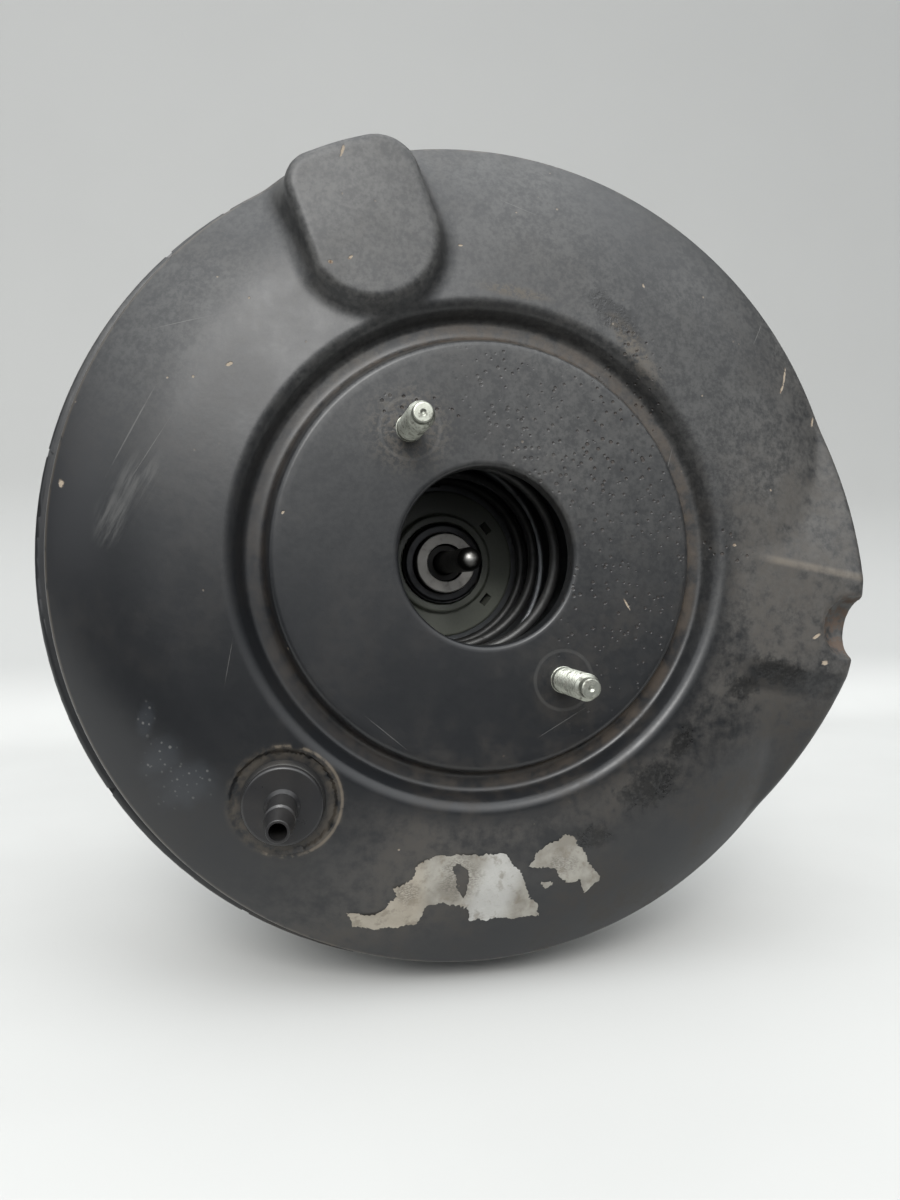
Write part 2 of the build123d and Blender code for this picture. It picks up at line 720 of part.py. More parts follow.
def make_poppet_retainer():
    """Pressed cup that holds the sleeve's bead and seats the rod's return spring."""
    floor = retainer_depth + 0.5
    line = [(10.6, floor + 3), (10.6, floor), (tube_bore - 0.8, floor), (tube_bore - 0.8, floor + 6.5)]
    return pressed(line, [1.0, 1.0], 0.9)


def make_poppet_spring():
    """Light spring that follows the poppet up to its seats."""
    return axial_spring(9.6, 0.9, poppet_face + 3.3, rod_seat_depth - 0.1, 5.0)


def make_rod_return_spring():
    """Spring that brings the input rod and plunger back to rest."""
    return axial_spring(12.3, 1.6, retainer_depth + 1.1, rod_seat_depth - 0.1, 2.6)


def make_rod_spring_seat():
    """Pressed washer on the input rod that both small springs push on."""
    middle, lip = rod_seat_depth + 0.5, 13.9
    line = [(input_rod_radius + 0.2, middle), (lip, middle), (lip, middle - 1.7)]
    return pressed(line, [0.8], 0.9)


# ---------------------------------------------------------------- input rod and clevis
rod_thread_start = body_depth + 84.0
clevis_front = body_depth + clevis_pin_reach - 26.0
clevis_gap = 12.0
clevis_ear = 5.0
clevis_ear_radius = 9.5
clevis_root = 10.0                   # round part in front of the ears
nut_half_width, nut_height = 8.5, 6.0
nut_chamfer = 1.3
rod_neck_radius = 3.4
rod_shoulder = 1.6                   # height and ends of the shoulder behind the spring seat
shoulder_front, shoulder_back = rod_seat_depth + 1.1, rod_seat_depth + 3.4


def make_input_rod():
    """Input rod: ball end, neck, shank, shoulder and threaded end."""
    end = clevis_front + 12.0
    rod = turned(
        (0, socket_depth), (rod_neck_radius, socket_depth), (rod_neck_radius, socket_depth + 7),
        (input_rod_radius, socket_depth + 9), (input_rod_radius, shoulder_front),
        (input_rod_radius + rod_shoulder, shoulder_front), (input_rod_radius + rod_shoulder, shoulder_back),
        (input_rod_radius, shoulder_back + 1), (input_rod_radius, rod_thread_start),
        (clevis_thread_radius, rod_thread_start + 0.8), (clevis_thread_radius, end - 1.0),
        (clevis_thread_radius - 1.0, end), (0, end),
    )
    ball = Pos(0, socket_depth - body_depth, 0) * Sphere(ball_radius)
    return rod + ball


def make_lock_nut():
    """Hexagon nut that locks the clevis on the rod."""
    back = clevis_front - seat_gap
    front = back - nut_height
    face = nut_half_width + 0.1
    corner = face + nut_chamfer
    outline = front_plane(back) * RegularPolygon(nut_half_width, 6, major_radius=False)
    nut = extrude(outline, amount=nut_height)
    barrel = turned((0, front), (face, front), (corner, front + 0.8), (corner, back), (0, back))
    return nut & barrel - ring(0, clevis_thread_radius + running_fit, front - 2, back + 2)


def make_clevis():
    """Forged fork that takes the pedal pin."""
    width = clevis_gap + 2 * clevis_ear
    root = ring(0, clevis_ear_radius, clevis_front, clevis_front + clevis_root)
    start = clevis_front + 4 - body_depth
    profile = make_face(
        Polyline(
            (start, -clevis_ear_radius), (clevis_pin_reach, -clevis_ear_radius),
            (clevis_pin_reach, clevis_ear_radius), (start, clevis_ear_radius), close=True,
        )
    )
    side = Plane(origin=(-width / 2, 0, 0), x_dir=(0, 1, 0), z_dir=(1, 0, 0))
    pin_place = Pos(clevis_pin_reach, 0)
    ears = extrude(side * (profile + pin_place * Circle(clevis_ear_radius)), amount=width)
    gap = Pos(0, clevis_pin_reach - clevis_ear_radius - 1.5, 0) * Box(
        clevis_gap, 4 * clevis_ear_radius, 2 * clevis_ear_radius + 2,
        align=(Align.CENTER, Align.MIN, Align.CENTER),
    )
    pin_hole = extrude(side * pin_place * Circle(clevis_pin_radius), amount=width)
    thread = ring(0, clevis_thread_radius + running_fit, clevis_front - 1, clevis_front + 40)
    return root + ears - gap - pin_hole - thread


# ---------------------------------------------------------------- seals, diaphragm, boot
bearing_front, bearing_length = body_depth + 1.0, 4.6
seal_length = 8.2
fold_depth, fold_width = plate_depth - 10.5, 8.6    # the diaphragm's rolling fold
fold_bend = 4.1
hub_bead_radius = 26.8
boot_front = body_depth + 7.0
boot_folds, boot_pitch = 5, 8.0


def make_hub_bearing():
    """Plastic ring that guides the power piston's tube."""
    inner, outer, back = tube_radius + running_fit, neck_radius - seat_gap, bearing_front + bearing_length
    return turned(
        (inner, bearing_front), (outer, bearing_front), (outer, back), (inner, back), radii=[0, 0.4, 0.4, 0]
    )


def make_hub_seal():
    """Rubber lip seal behind the bearing."""
    front = bearing_front + bearing_length + seat_gap
    lip, outer = tube_radius + slip, neck_radius - seat_gap
    return turned(
        (lip, front + 3.6), (lip, front + 2.6), (tube_radius + 1.4, front), (outer, front),
        (outer, front + seal_length), (tube_radius + 1.0, front + seal_length), (lip, front + 7.2),
        (lip, front + 6.2), (tube_radius + 1.6, front + 4.9),
        radii=[0, 0, 0.5, 0.5, 0.5, 0.3, 0, 0, 0.5],
    )


def make_seal_retainer():
    """Pressed ring that keeps the seal in the neck."""
    middle, wall = bearing_front + bearing_length + seat_gap + seal_length + 0.6, neck_radius - 0.6
    line = [(tube_radius + 0.9, middle), (wall, middle), (wall, middle + 4.5)]
    return pressed(line, [1.0], 0.9)


def make_diaphragm():
    """Rolling rubber diaphragm from the crimped rim to the power piston."""
    clear = plate_sheet / 2 + seat_gap + membrane / 2
    back = plate_mid + clear
    wall = skirt_radius - rear_sheet / 2 - 1.65 - membrane / 2
    inner_wall = wall - fold_width
    rim_face = shelf_depth - seat_gap
    foot, top, cone = behind_plate(clear)
    slope = (plate_line[4][1] - plate_line[3][1]) / (plate_line[4][0] - plate_line[3][0])
    line = [
        (shell_radius - 0.4, rim_face - membrane / 2), (wall, rim_face - membrane / 2), (wall, fold_depth),
        (inner_wall, fold_depth), (inner_wall, cone[1] + slope * (inner_wall - cone[0])), cone, top, foot,
        (groove_floor + 3, back),
    ]
    bends = [plate_bends[2] - clear, plate_bends[1] - clear, plate_bends[0] + clear]
    sheet = pressed(line, [3.0, fold_bend, fold_bend, 1.6] + bends, membrane)
    bead_outer = front_flange_radius - front_sheet - slip
    bead = turned(
        (shell_radius - 2.4, shelf_depth - 3.6), (bead_outer, shelf_depth - 3.6),
        (bead_outer, rim_face), (shell_radius - 2.4, rim_face),
        radii=[1.2, 1.2, 0.8, 0.8],
    )
    hub_bead = turned(
        (groove_floor + seat_gap, back - 1), (hub_bead_radius, back - 1),
        (hub_bead_radius, bead_back - seat_gap), (groove_floor + seat_gap, bead_back - seat_gap),
        radii=[0.6, 0.6, 1.2, 0.6],
    )
    return sheet + bead + hub_bead


def make_dust_boot():
    """Bellows between the neck and the input rod."""
    collar, grip = neck_radius + rear_sheet + 1.1, input_rod_radius + 1.1
    first = boot_front + 19.0
    line = [(collar, boot_front), (collar, first - 3.4)]
    for fold in range(boot_folds):
        line += [
            (collar + 3.3 - 0.8 * fold, first + boot_pitch * fold),
            (collar - 3.1 - 0.5 * fold, first + boot_pitch * (fold + 0.5)),
        ]
    last = first + boot_pitch * boot_folds
    line += [(collar - 5.9, last + 0.5), (grip, last + 4.0), (grip, last + 11.0)]
    return pressed(line, [1.5] * (len(line) - 2), 1.6)


def make_return_spring():
    """Main return spring between the front reinforcement and the diaphragm plate."""
    radius = spring_inner_radius + spring_wire / 2
    return axial_spring(radius, spring_wire, front_plate_back + 0.05, plate_depth - 0.05, spring_coils)


# ---------------------------------------------------------------- write the nodes
nodes = {
    "front_shell": make_front_shell,
    "rear_shell": make_rear_shell,
    "front_reinforcement": make_front_reinforcement,
    "rear_reinforcement": make_rear_reinforcement,
    "master_cylinder_studs": make_master_cylinder_studs,
    "bulkhead_studs": make_bulkhead_studs,
    "check_valve_grommet": make_check_valve_grommet,
    "check_valve_body": make_check_valve_body,
    "check_valve_base": make_check_valve_base,
    "check_valve_disc": make_check_valve_disc,
    "check_valve_spring": make_check_valve_spring,
    "hub_bearing": make_hub_bearing,
    "hub_seal": make_hub_seal,
    "seal_retainer": make_seal_retainer,
    "diaphragm": make_diaphragm,
    "dust_boot": make_dust_boot,
    "return_spring": make_return_spring,
    "valve_body": make_valve_body,
    "diaphragm_plate": make_diaphragm_plate,
    "output_rod": make_output_rod,
    "rod_retainer": make_rod_retainer,
    "reaction_disc": make_reaction_disc,
    "stop_key": make_stop_key,
    "silencer": make_silencer,
    "air_filter": make_air_filter,
    "filter_retainer": make_filter_retainer,
    "poppet_sleeve": make_poppet_sleeve,
    "poppet_retainer": make_poppet_retainer,
    "poppet_spring": make_poppet_spring,
    "rod_return_spring": make_rod_return_spring,
    "poppet": make_poppet,
    "valve_plunger": make_valve_plunger,
    "input_rod": make_input_rod,
    "rod_spring_seat": make_rod_spring_seat,
    "lock_nut": make_lock_nut,
    "clevis": make_clevis,
}

os.makedirs("parts", exist_ok=True)
for name, make in nodes.items():
    export_step(make(), f"parts/{name}.step")
    print("wrote", name)
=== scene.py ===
# %% [markdown]
# # A vacuum brake booster
#
# The object is the round servo that sits between a car's brake pedal and its master
# cylinder: two pressed steel shells crimped together, with studs, a vacuum port and,
# inside, a spring, a rubber diaphragm and a moulded power piston.
#
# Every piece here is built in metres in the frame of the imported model: the booster's axis
# is Y, the master cylinder side faces -Y, and the origin is the middle of the face that
# bolts against the bulkhead.  Sections of turned pieces are written in millimetres as
# (radius, depth), with depth counted backwards from the flat front face.

import bmesh
import bpy
import numpy as np
from mathutils import Matrix, Vector
from mathutils.geometry import delaunay_2d_cdt


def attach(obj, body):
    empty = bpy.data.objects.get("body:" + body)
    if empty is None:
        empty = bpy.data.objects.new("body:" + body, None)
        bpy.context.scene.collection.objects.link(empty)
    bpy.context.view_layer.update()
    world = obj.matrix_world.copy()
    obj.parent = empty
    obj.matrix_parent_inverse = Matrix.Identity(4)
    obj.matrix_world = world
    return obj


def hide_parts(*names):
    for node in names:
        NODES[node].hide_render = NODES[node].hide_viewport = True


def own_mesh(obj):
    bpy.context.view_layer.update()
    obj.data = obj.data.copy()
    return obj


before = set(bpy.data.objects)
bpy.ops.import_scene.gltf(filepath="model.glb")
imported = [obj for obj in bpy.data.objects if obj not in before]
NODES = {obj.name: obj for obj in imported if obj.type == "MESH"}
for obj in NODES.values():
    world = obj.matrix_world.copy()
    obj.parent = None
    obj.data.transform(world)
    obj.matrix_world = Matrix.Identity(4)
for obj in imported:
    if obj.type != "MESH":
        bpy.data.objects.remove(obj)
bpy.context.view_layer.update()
MM = 0.001
BODY_DEPTH = 104.0


# %% [markdown]
# ## Surfaces from grids
#
# A turned or pressed piece is a surface with two parameters, so it is worked out as one
# numpy array of points with rows and columns, and quads join the neighbours.  A modelling
# tool would need a profile curve and a Screw modifier for the same thing, but the array
# can also carry a pad, a scoop or a thread, which no modifier gives.

# %% A grid of points becomes a mesh
def grid_piece(name, points, wrap_rows=False, wrap_columns=True, sharp=35.0):
    """A mesh of quads between the neighbours of a (rows, columns, 3) array in millimetres.

    Doubled points, as at a pole, are merged, and the faces are turned to point outwards."""
    rows, columns, _ = points.shape
    index = np.arange(rows * columns).reshape(rows, columns)
    if wrap_rows:
        index = np.vstack([index, index[:1]])
    if wrap_columns:
        index = np.hstack([index, index[:, :1]])
    quads = np.stack(
        [index[:-1, :-1], index[:-1, 1:], index[1:, 1:], index[1:, :-1]], axis=-1
    ).reshape(-1, 4)
    mesh = bpy.data.meshes.new(name)
    mesh.vertices.add(rows * columns)
    mesh.vertices.foreach_set("co", (points * MM).astype(np.float32).ravel())
    mesh.loops.add(quads.size)
    mesh.loops.foreach_set("vertex_index", quads.astype(np.int32).ravel())
    mesh.polygons.add(len(quads))
    mesh.polygons.foreach_set("loop_start", np.arange(0, quads.size, 4, dtype=np.int32))
    mesh.update(calc_edges=True)
    shape = bmesh.new()
    shape.from_mesh(mesh)
    bmesh.ops.remove_doubles(shape, verts=shape.verts, dist=2e-7)
    bmesh.ops.dissolve_degenerate(shape, edges=shape.edges, dist=1e-8)
    bmesh.ops.recalc_face_normals(shape, faces=shape.faces)
    shape.to_mesh(mesh)
    shape.free()
    mesh.polygons.foreach_set("use_smooth", np.ones(len(mesh.polygons), dtype=bool))
    mesh.set_sharp_from_angle(angle=np.radians(sharp))
    piece = bpy.data.objects.new(name, mesh)
    bpy.context.scene.collection.objects.link(piece)
    print(f"{name}: {len(mesh.polygons)} faces")
    return piece


# %% Profiles with rounded corners
def rounded(corners, radii, closed=False, step=0.05):
    """A line through 2-D corners, each rounded by an arc of its radius.

    At a corner that turns by an angle a, the arc of radius R starts R tan(a / 2) before
    it.  Returns close points along the line and the unit normals on its left."""
    corners = np.asarray(corners, float)
    count = len(corners)
    stretches = []
    for i in range(count):
        here, before, after = corners[i], corners[i - 1], corners[(i + 1) % count]
        radius = radii[i]
        if radius == 0 or (not closed and i in (0, count - 1)):
            stretches.append(here[None])
            continue
        into = (here - before) / np.linalg.norm(here - before)
        out = (after - here) / np.linalg.norm(after - here)
        side = np.sign(into[0] * out[1] - into[1] * out[0])
        turn = np.arccos(np.clip(into @ out, -1, 1))
        start = here - into * radius * np.tan(turn / 2)
        left = np.array([-into[1], into[0]]) * side
        sweep = np.linspace(0, turn, max(3, int(radius * turn / step)))[:, None]
        stretches.append(start + left * radius * (1 - np.cos(sweep)) + into * radius * np.sin(sweep))
    if closed:
        stretches.append(stretches[0][:1])
    line = np.vstack(stretches)
    length = np.concatenate([[0], np.cumsum(np.linalg.norm(np.diff(line, axis=0), axis=1))])
    keep = np.concatenate([[True], np.diff(length) > 1e-9])
    line, length = line[keep], length[keep]
    even = np.arange(0, length[-1], step)
    even = np.append(even, length[-1])
    points = np.stack([np.interp(even, length, line[:, k]) for k in (0, 1)], axis=1)
    along = np.gradient(points, even, axis=0)
    along /= np.linalg.norm(along, axis=1, keepdims=True)
    return points, np.stack([-along[:, 1], along[:, 0]], axis=1)


def gather(points, normals, count, bend=6.0, weight=None):
    """Picks count points of a close line, nearer together where it bends.

    Their spacing is inverse to 1 + bend x curvature, times a weight of their own."""
    step = np.linalg.norm(np.diff(points, axis=0), axis=1)
    curve = np.linalg.norm(np.diff(normals, axis=0), axis=1) / step
    density = 1 + bend * np.minimum(curve, 1.5)
    if weight is not None:
        density = density * weight[:-1]
    total = np.concatenate([[0], np.cumsum(density * step)])
    picked = np.linspace(0, total[-1], count)
    chosen = [np.interp(picked, total, array[:, k]) for array in (points, normals) for k in (0, 1)]
    normals = np.stack(chosen[2:], axis=1)
    return np.stack(chosen[:2], axis=1), normals / np.linalg.norm(normals, axis=1, keepdims=True)


print("surfaces are ready")


# %% [markdown]
# ## The camera
#
# A camera is a place, three directions and a lens.  The rows of the matrix below are the
# camera's right, up and backward directions, so no track-to constraint is needed.

# %% The camera
CAMERA_PLACE = Vector((-0.062287, -0.36032, -0.00954))
CAMERA_RIGHT = Vector((0.98101, -0.19397, 0.0))
CAMERA_UP = Vector((0.00249, 0.01261, 0.99992))
LENS_PER_HEIGHT = 887 / 1200
camera_data = bpy.data.cameras.new("camera")
camera_data.sensor_fit = "VERTICAL"
camera_data.sensor_height = 36
camera_data.lens = LENS_PER_HEIGHT * 36
camera_data.clip_start = 0.01
camera = bpy.data.objects.new("camera", camera_data)
bpy.context.scene.collection.objects.link(camera)
camera_back = CAMERA_RIGHT.cross(CAMERA_UP)
camera.matrix_world = (
    Matrix.Translation(CAMERA_PLACE) @ Matrix((CAMERA_RIGHT, CAMERA_UP, camera_back)).transposed().to_4x4()
)
bpy.context.scene.camera = camera
print("camera at", tuple(round(v, 3) for v in CAMERA_PLACE))


# %% [markdown]
# ## The front shell
#
# The front shell is deep-drawn from one sheet of steel. Pressed steel flows from one
# into the next with soft corners, which booleans and bevels make badly.
#
# So the surface is found instead of joined.  Each shape is a distance field, a function
# that says how far a point lies outside it.  A soft minimum joins two fields with a
# fillet, a soft maximum cuts one from the other, and every point of the turned profile
# moves along its own normal until the joined field is zero.

# %% Soft joins of distance fields
def soft_min(a, b, width):
    """The smaller of two distances, rounded where they differ by less than width.

    With s = clip(1/2 + (b - a) / (2 width), 0, 1) it is b + (a - b) s - width s (1 - s)."""
    share = np.clip(0.5 + 0.5 * (b - a) / width, 0, 1)
    return b + (a - b) * share - width * share * (1 - share)


def soft_max(a, b, width):
    """The larger of two distances, rounded in the same way."""
    return -soft_min(-a, -b, width)


def edge_round(side, top, radius):
    """Distance to where a wall and a top meet in a rounded edge of that radius."""
    outside = np.hypot(np.maximum(side + radius, 0), np.maximum(top + radius, 0))
    return outside + np.minimum(np.maximum(side + radius, top + radius), 0) - radius


# %% The shell's turned form
BORE_RADIUS = 26.7
DISC_RADIUS = 63.8
LIP_RADIUS = 74.7
COLLAR_DEPTH = 6.0
GROOVE_DEPTH = 6.0
RING_BEND = 70.0
RING_SLOPE = np.radians(6.0)
EDGE_SLOPE = np.radians(34.0)
EDGE_RADIUS, EDGE_DEPTH = 127.0, 14.8
SHELL_RADIUS = 129.2
RIM_RADIUS = 134.4
RIM_DEPTH = 35.0
SHEET = 1.6
FLANGE_RADIUS = 132.8
FLANGE_END = 40.4


def ring_depth(radius):
    """Depth of the domed ring on its straight inner part, next to the groove."""
    return (radius - LIP_RADIUS) * np.tan(RING_SLOPE)


bend_radius = (EDGE_RADIUS * np.tan(EDGE_SLOPE) - LIP_RADIUS * np.tan(RING_SLOPE) - EDGE_DEPTH) / (
    np.tan(EDGE_SLOPE) - np.tan(RING_SLOPE)
)
SHELL_CORNERS = [
    (BORE_RADIUS, COLLAR_DEPTH), (BORE_RADIUS, 0), (DISC_RADIUS, 0), (DISC_RADIUS + 1.9, GROOVE_DEPTH),
    (LIP_RADIUS - 3.7, GROOVE_DEPTH), (LIP_RADIUS, 0), (bend_radius, ring_depth(bend_radius)),
    (EDGE_RADIUS, EDGE_DEPTH), (SHELL_RADIUS, RIM_DEPTH), (FLANGE_RADIUS, RIM_DEPTH),
    (FLANGE_RADIUS, FLANGE_END),
]
SHELL_ROUNDINGS = [0, 1.5, 1.9, 2.2, 2.2, 4.2, RING_BEND, 2.2, 1.2, 2.0, 0]
shell_line, shell_out = rounded(SHELL_CORNERS, SHELL_ROUNDINGS)
shell_out = -shell_out
print("shell profile:", len(shell_line), "close points, first normal", shell_out[0])


# %% The pad, the saddle and the check valve's recess
PAD_CORNERS = [(-58.6, 108.3), (-43.1, 115.4), (-26.6, 120.3), (-9.8, 75.2), (-41.1, 75.2), (-48.3, 81.3)]
PAD_ROUNDINGS = [7.0, 90.0, 10.0, 16.9, 16.9, 2.5]
PAD_HEIGHT = 3.5
PAD_DRAFT = 0.11
PAD_EDGE = 2.4
PAD_FOOT = 6.0
SADDLE_ANGLE = np.radians(-10.3)
SADDLE_HALF_WIDTH = 16.1
SADDLE_TOP = 1.2
SADDLE_RISE = 0.014
SADDLE_FLANK = np.radians(14.3)
SADDLE_RIM = 2.4
SADDLE_FOOT, SCOOP_LIP, RECESS_LIP = 0.7, 1.6, 1.2
SCOOP_RADIUS = 10.0
SCOOP_PLACE = (123.8, 0.8)
scoop_x, scoop_z = SCOOP_PLACE[0] * np.cos(SADDLE_ANGLE), SCOOP_PLACE[0] * np.sin(SADDLE_ANGLE)
VALVE_RADIUS = 93.0
VALVE_ANGLE = np.radians(229.8)
RECESS = (15.0, 1.5)
pad_line, pad_out = rounded(PAD_CORNERS, PAD_ROUNDINGS, closed=True, step=0.5)
pad_middle = pad_line.mean(axis=0)
if np.einsum("ij,ij->i", pad_line - pad_middle, pad_out).mean() < 0:
    pad_out = -pad_out
pad_reach = np.einsum("ij,ij->i", pad_line, pad_out)


def pad_field(x, z, height):
    """Distance outside the pad: a convex outline with sloping walls and a flat top.

    For a convex outline it is the largest of (p - q) . n over its edge points q."""
    side = np.full(x.shape, -99.0)
    for normal, reach in zip(pad_out[::2], pad_reach[::2]):
        side = np.maximum(side, x * normal[0] + z * normal[1] - reach)
    side = side - PAD_EDGE - (PAD_HEIGHT - height) * PAD_DRAFT
    side = np.maximum(side, np.hypot(x, z) - EDGE_RADIUS + 0.1)
    return edge_round(side, height - PAD_HEIGHT, PAD_EDGE)


def saddle_field(x, z, height):
    """Distance outside the saddle: a flat strip out to the rim, between two wide flanks.

    The strip and the flanks are planes, and a convex roof is the largest of its planes."""
    along = x * np.cos(SADDLE_ANGLE) + z * np.sin(SADDLE_ANGLE)
    across = np.abs(-x * np.sin(SADDLE_ANGLE) + z * np.cos(SADDLE_ANGLE)) - SADDLE_HALF_WIDTH
    above = height + SADDLE_TOP - SADDLE_RISE * (along - LIP_RADIUS)
    roof = soft_max(above, above * np.cos(SADDLE_FLANK) + across * np.sin(SADDLE_FLANK), 0.25)
    wall = np.maximum(np.hypot(x, z) - EDGE_RADIUS + 0.2, LIP_RADIUS + 4 - along)
    return edge_round(wall, roof, SADDLE_RIM)


def scoop_field(x, z, height):
    """Distance outside the ball that dents the saddle's end."""
    lift = height - SCOOP_PLACE[1]
    return np.sqrt((x - scoop_x) ** 2 + (z - scoop_z) ** 2 + lift ** 2) - SCOOP_RADIUS


valve_out = np.array(
    [np.sin(RING_SLOPE) * np.cos(VALVE_ANGLE), np.sin(RING_SLOPE) * np.sin(VALVE_ANGLE), np.cos(RING_SLOPE)]
)
valve_base = np.array(
    [VALVE_RADIUS * np.cos(VALVE_ANGLE), VALVE_RADIUS * np.sin(VALVE_ANGLE), -ring_depth(VALVE_RADIUS)]
)


def recess_field(x, z, height):
    """Distance outside the round recess, about the check valve's own tilted axis."""
    offset = np.stack([x, z, height], axis=-1) - valve_base
    lift = offset @ valve_out
    across = np.linalg.norm(offset - lift[..., None] * valve_out, axis=-1)
    return np.maximum(across - RECESS[0], -RECESS[1] - lift)


print("pad outline:", len(pad_line), "points")


# %% Where the shell's surface lies
def crowd(angles, zones, wide, fine):
    """Columns round the axis, fine degrees apart inside the zones and wide elsewhere."""
    close = np.linspace(0, 2 * np.pi, 7201)
    density = np.full(close.shape, 1 / wide)
    for middle, half in zones:
        away = np.abs((np.degrees(close) - middle + 180) % 360 - 180)
        density = np.maximum(density, 1 / fine * np.clip((half + 5 - away) / 5, 0, 1))
    total = np.concatenate([[0], np.cumsum((density[1:] + density[:-1]) / 2)])
    return np.interp(np.arange(angles) / angles * total[-1], total, close)


FIELD_STEPS, STEP_SHARE = 70, 0.85


def shell_surface(profile, out, angles, level):
    """Moves each point of the turned profile along its normal to the joined field's level.

    The field's value is never more than the true distance, so stepping by it from the
    outside comes to the surface and doesn't pass it."""
    radius, depth = profile[:, :1], profile[:, 1:]
    x0, z0 = radius * np.cos(angles), radius * np.sin(angles)
    nx, nz = out[:, :1] * np.cos(angles), out[:, :1] * np.sin(angles)
    nh = -out[:, 1:] + 0 * angles
    h0 = -depth + 0 * angles
    offset = np.full(x0.shape, 9.0)
    front = (radius > LIP_RADIUS - 2) & (depth < RIM_DEPTH - 2)
    for _ in range(FIELD_STEPS):
        x, z, h = x0 + nx * offset, z0 + nz * offset, h0 + nh * offset
        joined = soft_min(offset, pad_field(x, z, h), PAD_FOOT)
        joined = soft_min(joined, saddle_field(x, z, h), SADDLE_FOOT)
        joined = soft_max(joined, -scoop_field(x, z, h), SCOOP_LIP)
        joined = soft_max(joined, -recess_field(x, z, h), RECESS_LIP)
        value = np.where(front, joined, offset)
        offset = offset - STEP_SHARE * (value - level)
    return np.stack([x0 + nx * offset, -(h0 + nh * offset) - BODY_DEPTH, z0 + nz * offset], axis=-1)


PAD_ZONE = (111, 16)
SADDLE_ZONE, RECESS_ZONE = (np.degrees(SADDLE_ANGLE), 12), (np.degrees(VALVE_ANGLE), 11)
columns = crowd(440, [PAD_ZONE, SADDLE_ZONE, RECESS_ZONE], wide=1.4, fine=0.45)
busy = 1 + 1.6 * ((shell_line[:, 0] > LIP_RADIUS - 3) & (shell_line[:, 1] < 20))
outer_line, outer_out = gather(shell_line, shell_out, 180, weight=busy)
inner_line, inner_out = gather(shell_line, shell_out, 40, weight=busy)
outer_skin = shell_surface(outer_line, outer_out, columns, 0.0)
inner_skin = shell_surface(inner_line, inner_out, columns, -SHEET)
both_skins = np.concatenate([outer_skin, inner_skin[::-1]])
front_shell = grid_piece("front_shell_sheet", both_skins, wrap_rows=True)
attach(front_shell, "housing")
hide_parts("front_shell")


# %% [markdown]
# ## The remains of a label
#
# A paper label was torn off the lower part of the ring.  What is left is thin sheet with
# ragged edges, pressed onto the dome.  Its outlines are roughened by seeded noise, a
# constrained Delaunay triangulation fills them with small triangles, and every point
# takes the dome's own depth, so the paper lies on the paint and only its torn edges lift.
# The paper is bare: nothing is printed on it.

# %% Torn paper on the dome
PAPER_THICKNESS = 0.10
PAPER_STEP = 0.8
LABEL = [
    (-40.1, -111.5), (-41.0, -105.6), (-38.2, -106.4), (-33.0, -106.8), (-29.6, -104.3), (-27.3, -100.9),
    (-28.1, -98.1), (-22.2, -95.8), (-21.6, -91.8), (-15.2, -88.9), (0.0, -89.0), (5.0, -89.7),
    (8.0, -92.5), (11.9, -97.2), (13.9, -104.5), (16.9, -107.2), (17.5, -110.8), (2.4, -110.2),
    (-4.6, -110.4), (-5.3, -106.1), (-12.6, -103.6), (-17.6, -104.5), (-20.8, -110.9), (-32.1, -111.4),
]
LABEL_TEAR = [(-10.2, -92.8), (-8.0, -91.8), (-5.8, -93.8), (-5.1, -97.2), (-7.0, -102.0), (-9.2, -99.6)]
SCRAP = [
    (13.7, -94.0), (14.7, -90.7), (18.3, -87.2), (25.0, -84.5), (27.4, -85.4), (33.3, -95.1),
    (36.3, -100.2), (32.3, -104.5), (29.8, -99.9), (25.9, -100.4), (21.3, -94.9),
]
SHRED = [(17.4, -99.6), (20.4, -99.1), (20.9, -100.7), (19.1, -102.1)]
paper_random = np.random.default_rng(11)


def ragged(corners, rough):
    """A closed outline in steps of half a millimetre, pushed in and out by smoothed noise."""
    corners = np.asarray(corners, float)
    ends = np.roll(corners, -1, axis=0)
    length = np.concatenate([[0], np.cumsum(np.linalg.norm(ends - corners, axis=1))])
    even = np.linspace(0, length[-1], int(length[-1] / 0.5), endpoint=False)
    closed = np.vstack([corners, corners[:1]])
    line = np.stack([np.interp(even, length, closed[:, k]) for k in (0, 1)], axis=1)
    noise = paper_random.normal(size=(len(line), 2))
    slow = sum(np.roll(noise, shift, axis=0) for shift in range(-3, 4)) / 7 ** 0.5
    return line + rough * (0.55 * slow + 0.45 * noise)


def inside(points, loop):
    """1 for each point inside a closed outline: a level ray from it crosses an odd number of sides."""
    x, z = points[:, :1], points[:, 1:]
    (x1, z1), (x2, z2) = loop.T, np.roll(loop, -1, axis=0).T
    crossed = (z1 > z) != (z2 > z)
    crossing = x1 + (z - z1) * (x2 - x1) / np.where(z2 == z1, 1e-9, z2 - z1)
    return np.sum(crossed & (x < crossing), axis=1) % 2


def dome_depth(radius):
    """Depth of the shell's ring at a radius, from its own profile."""
    ring = (shell_line[:, 0] > LIP_RADIUS + 1) & (shell_line[:, 1] < EDGE_DEPTH)
    return np.interp(radius, shell_line[ring, 0], shell_line[ring, 1])


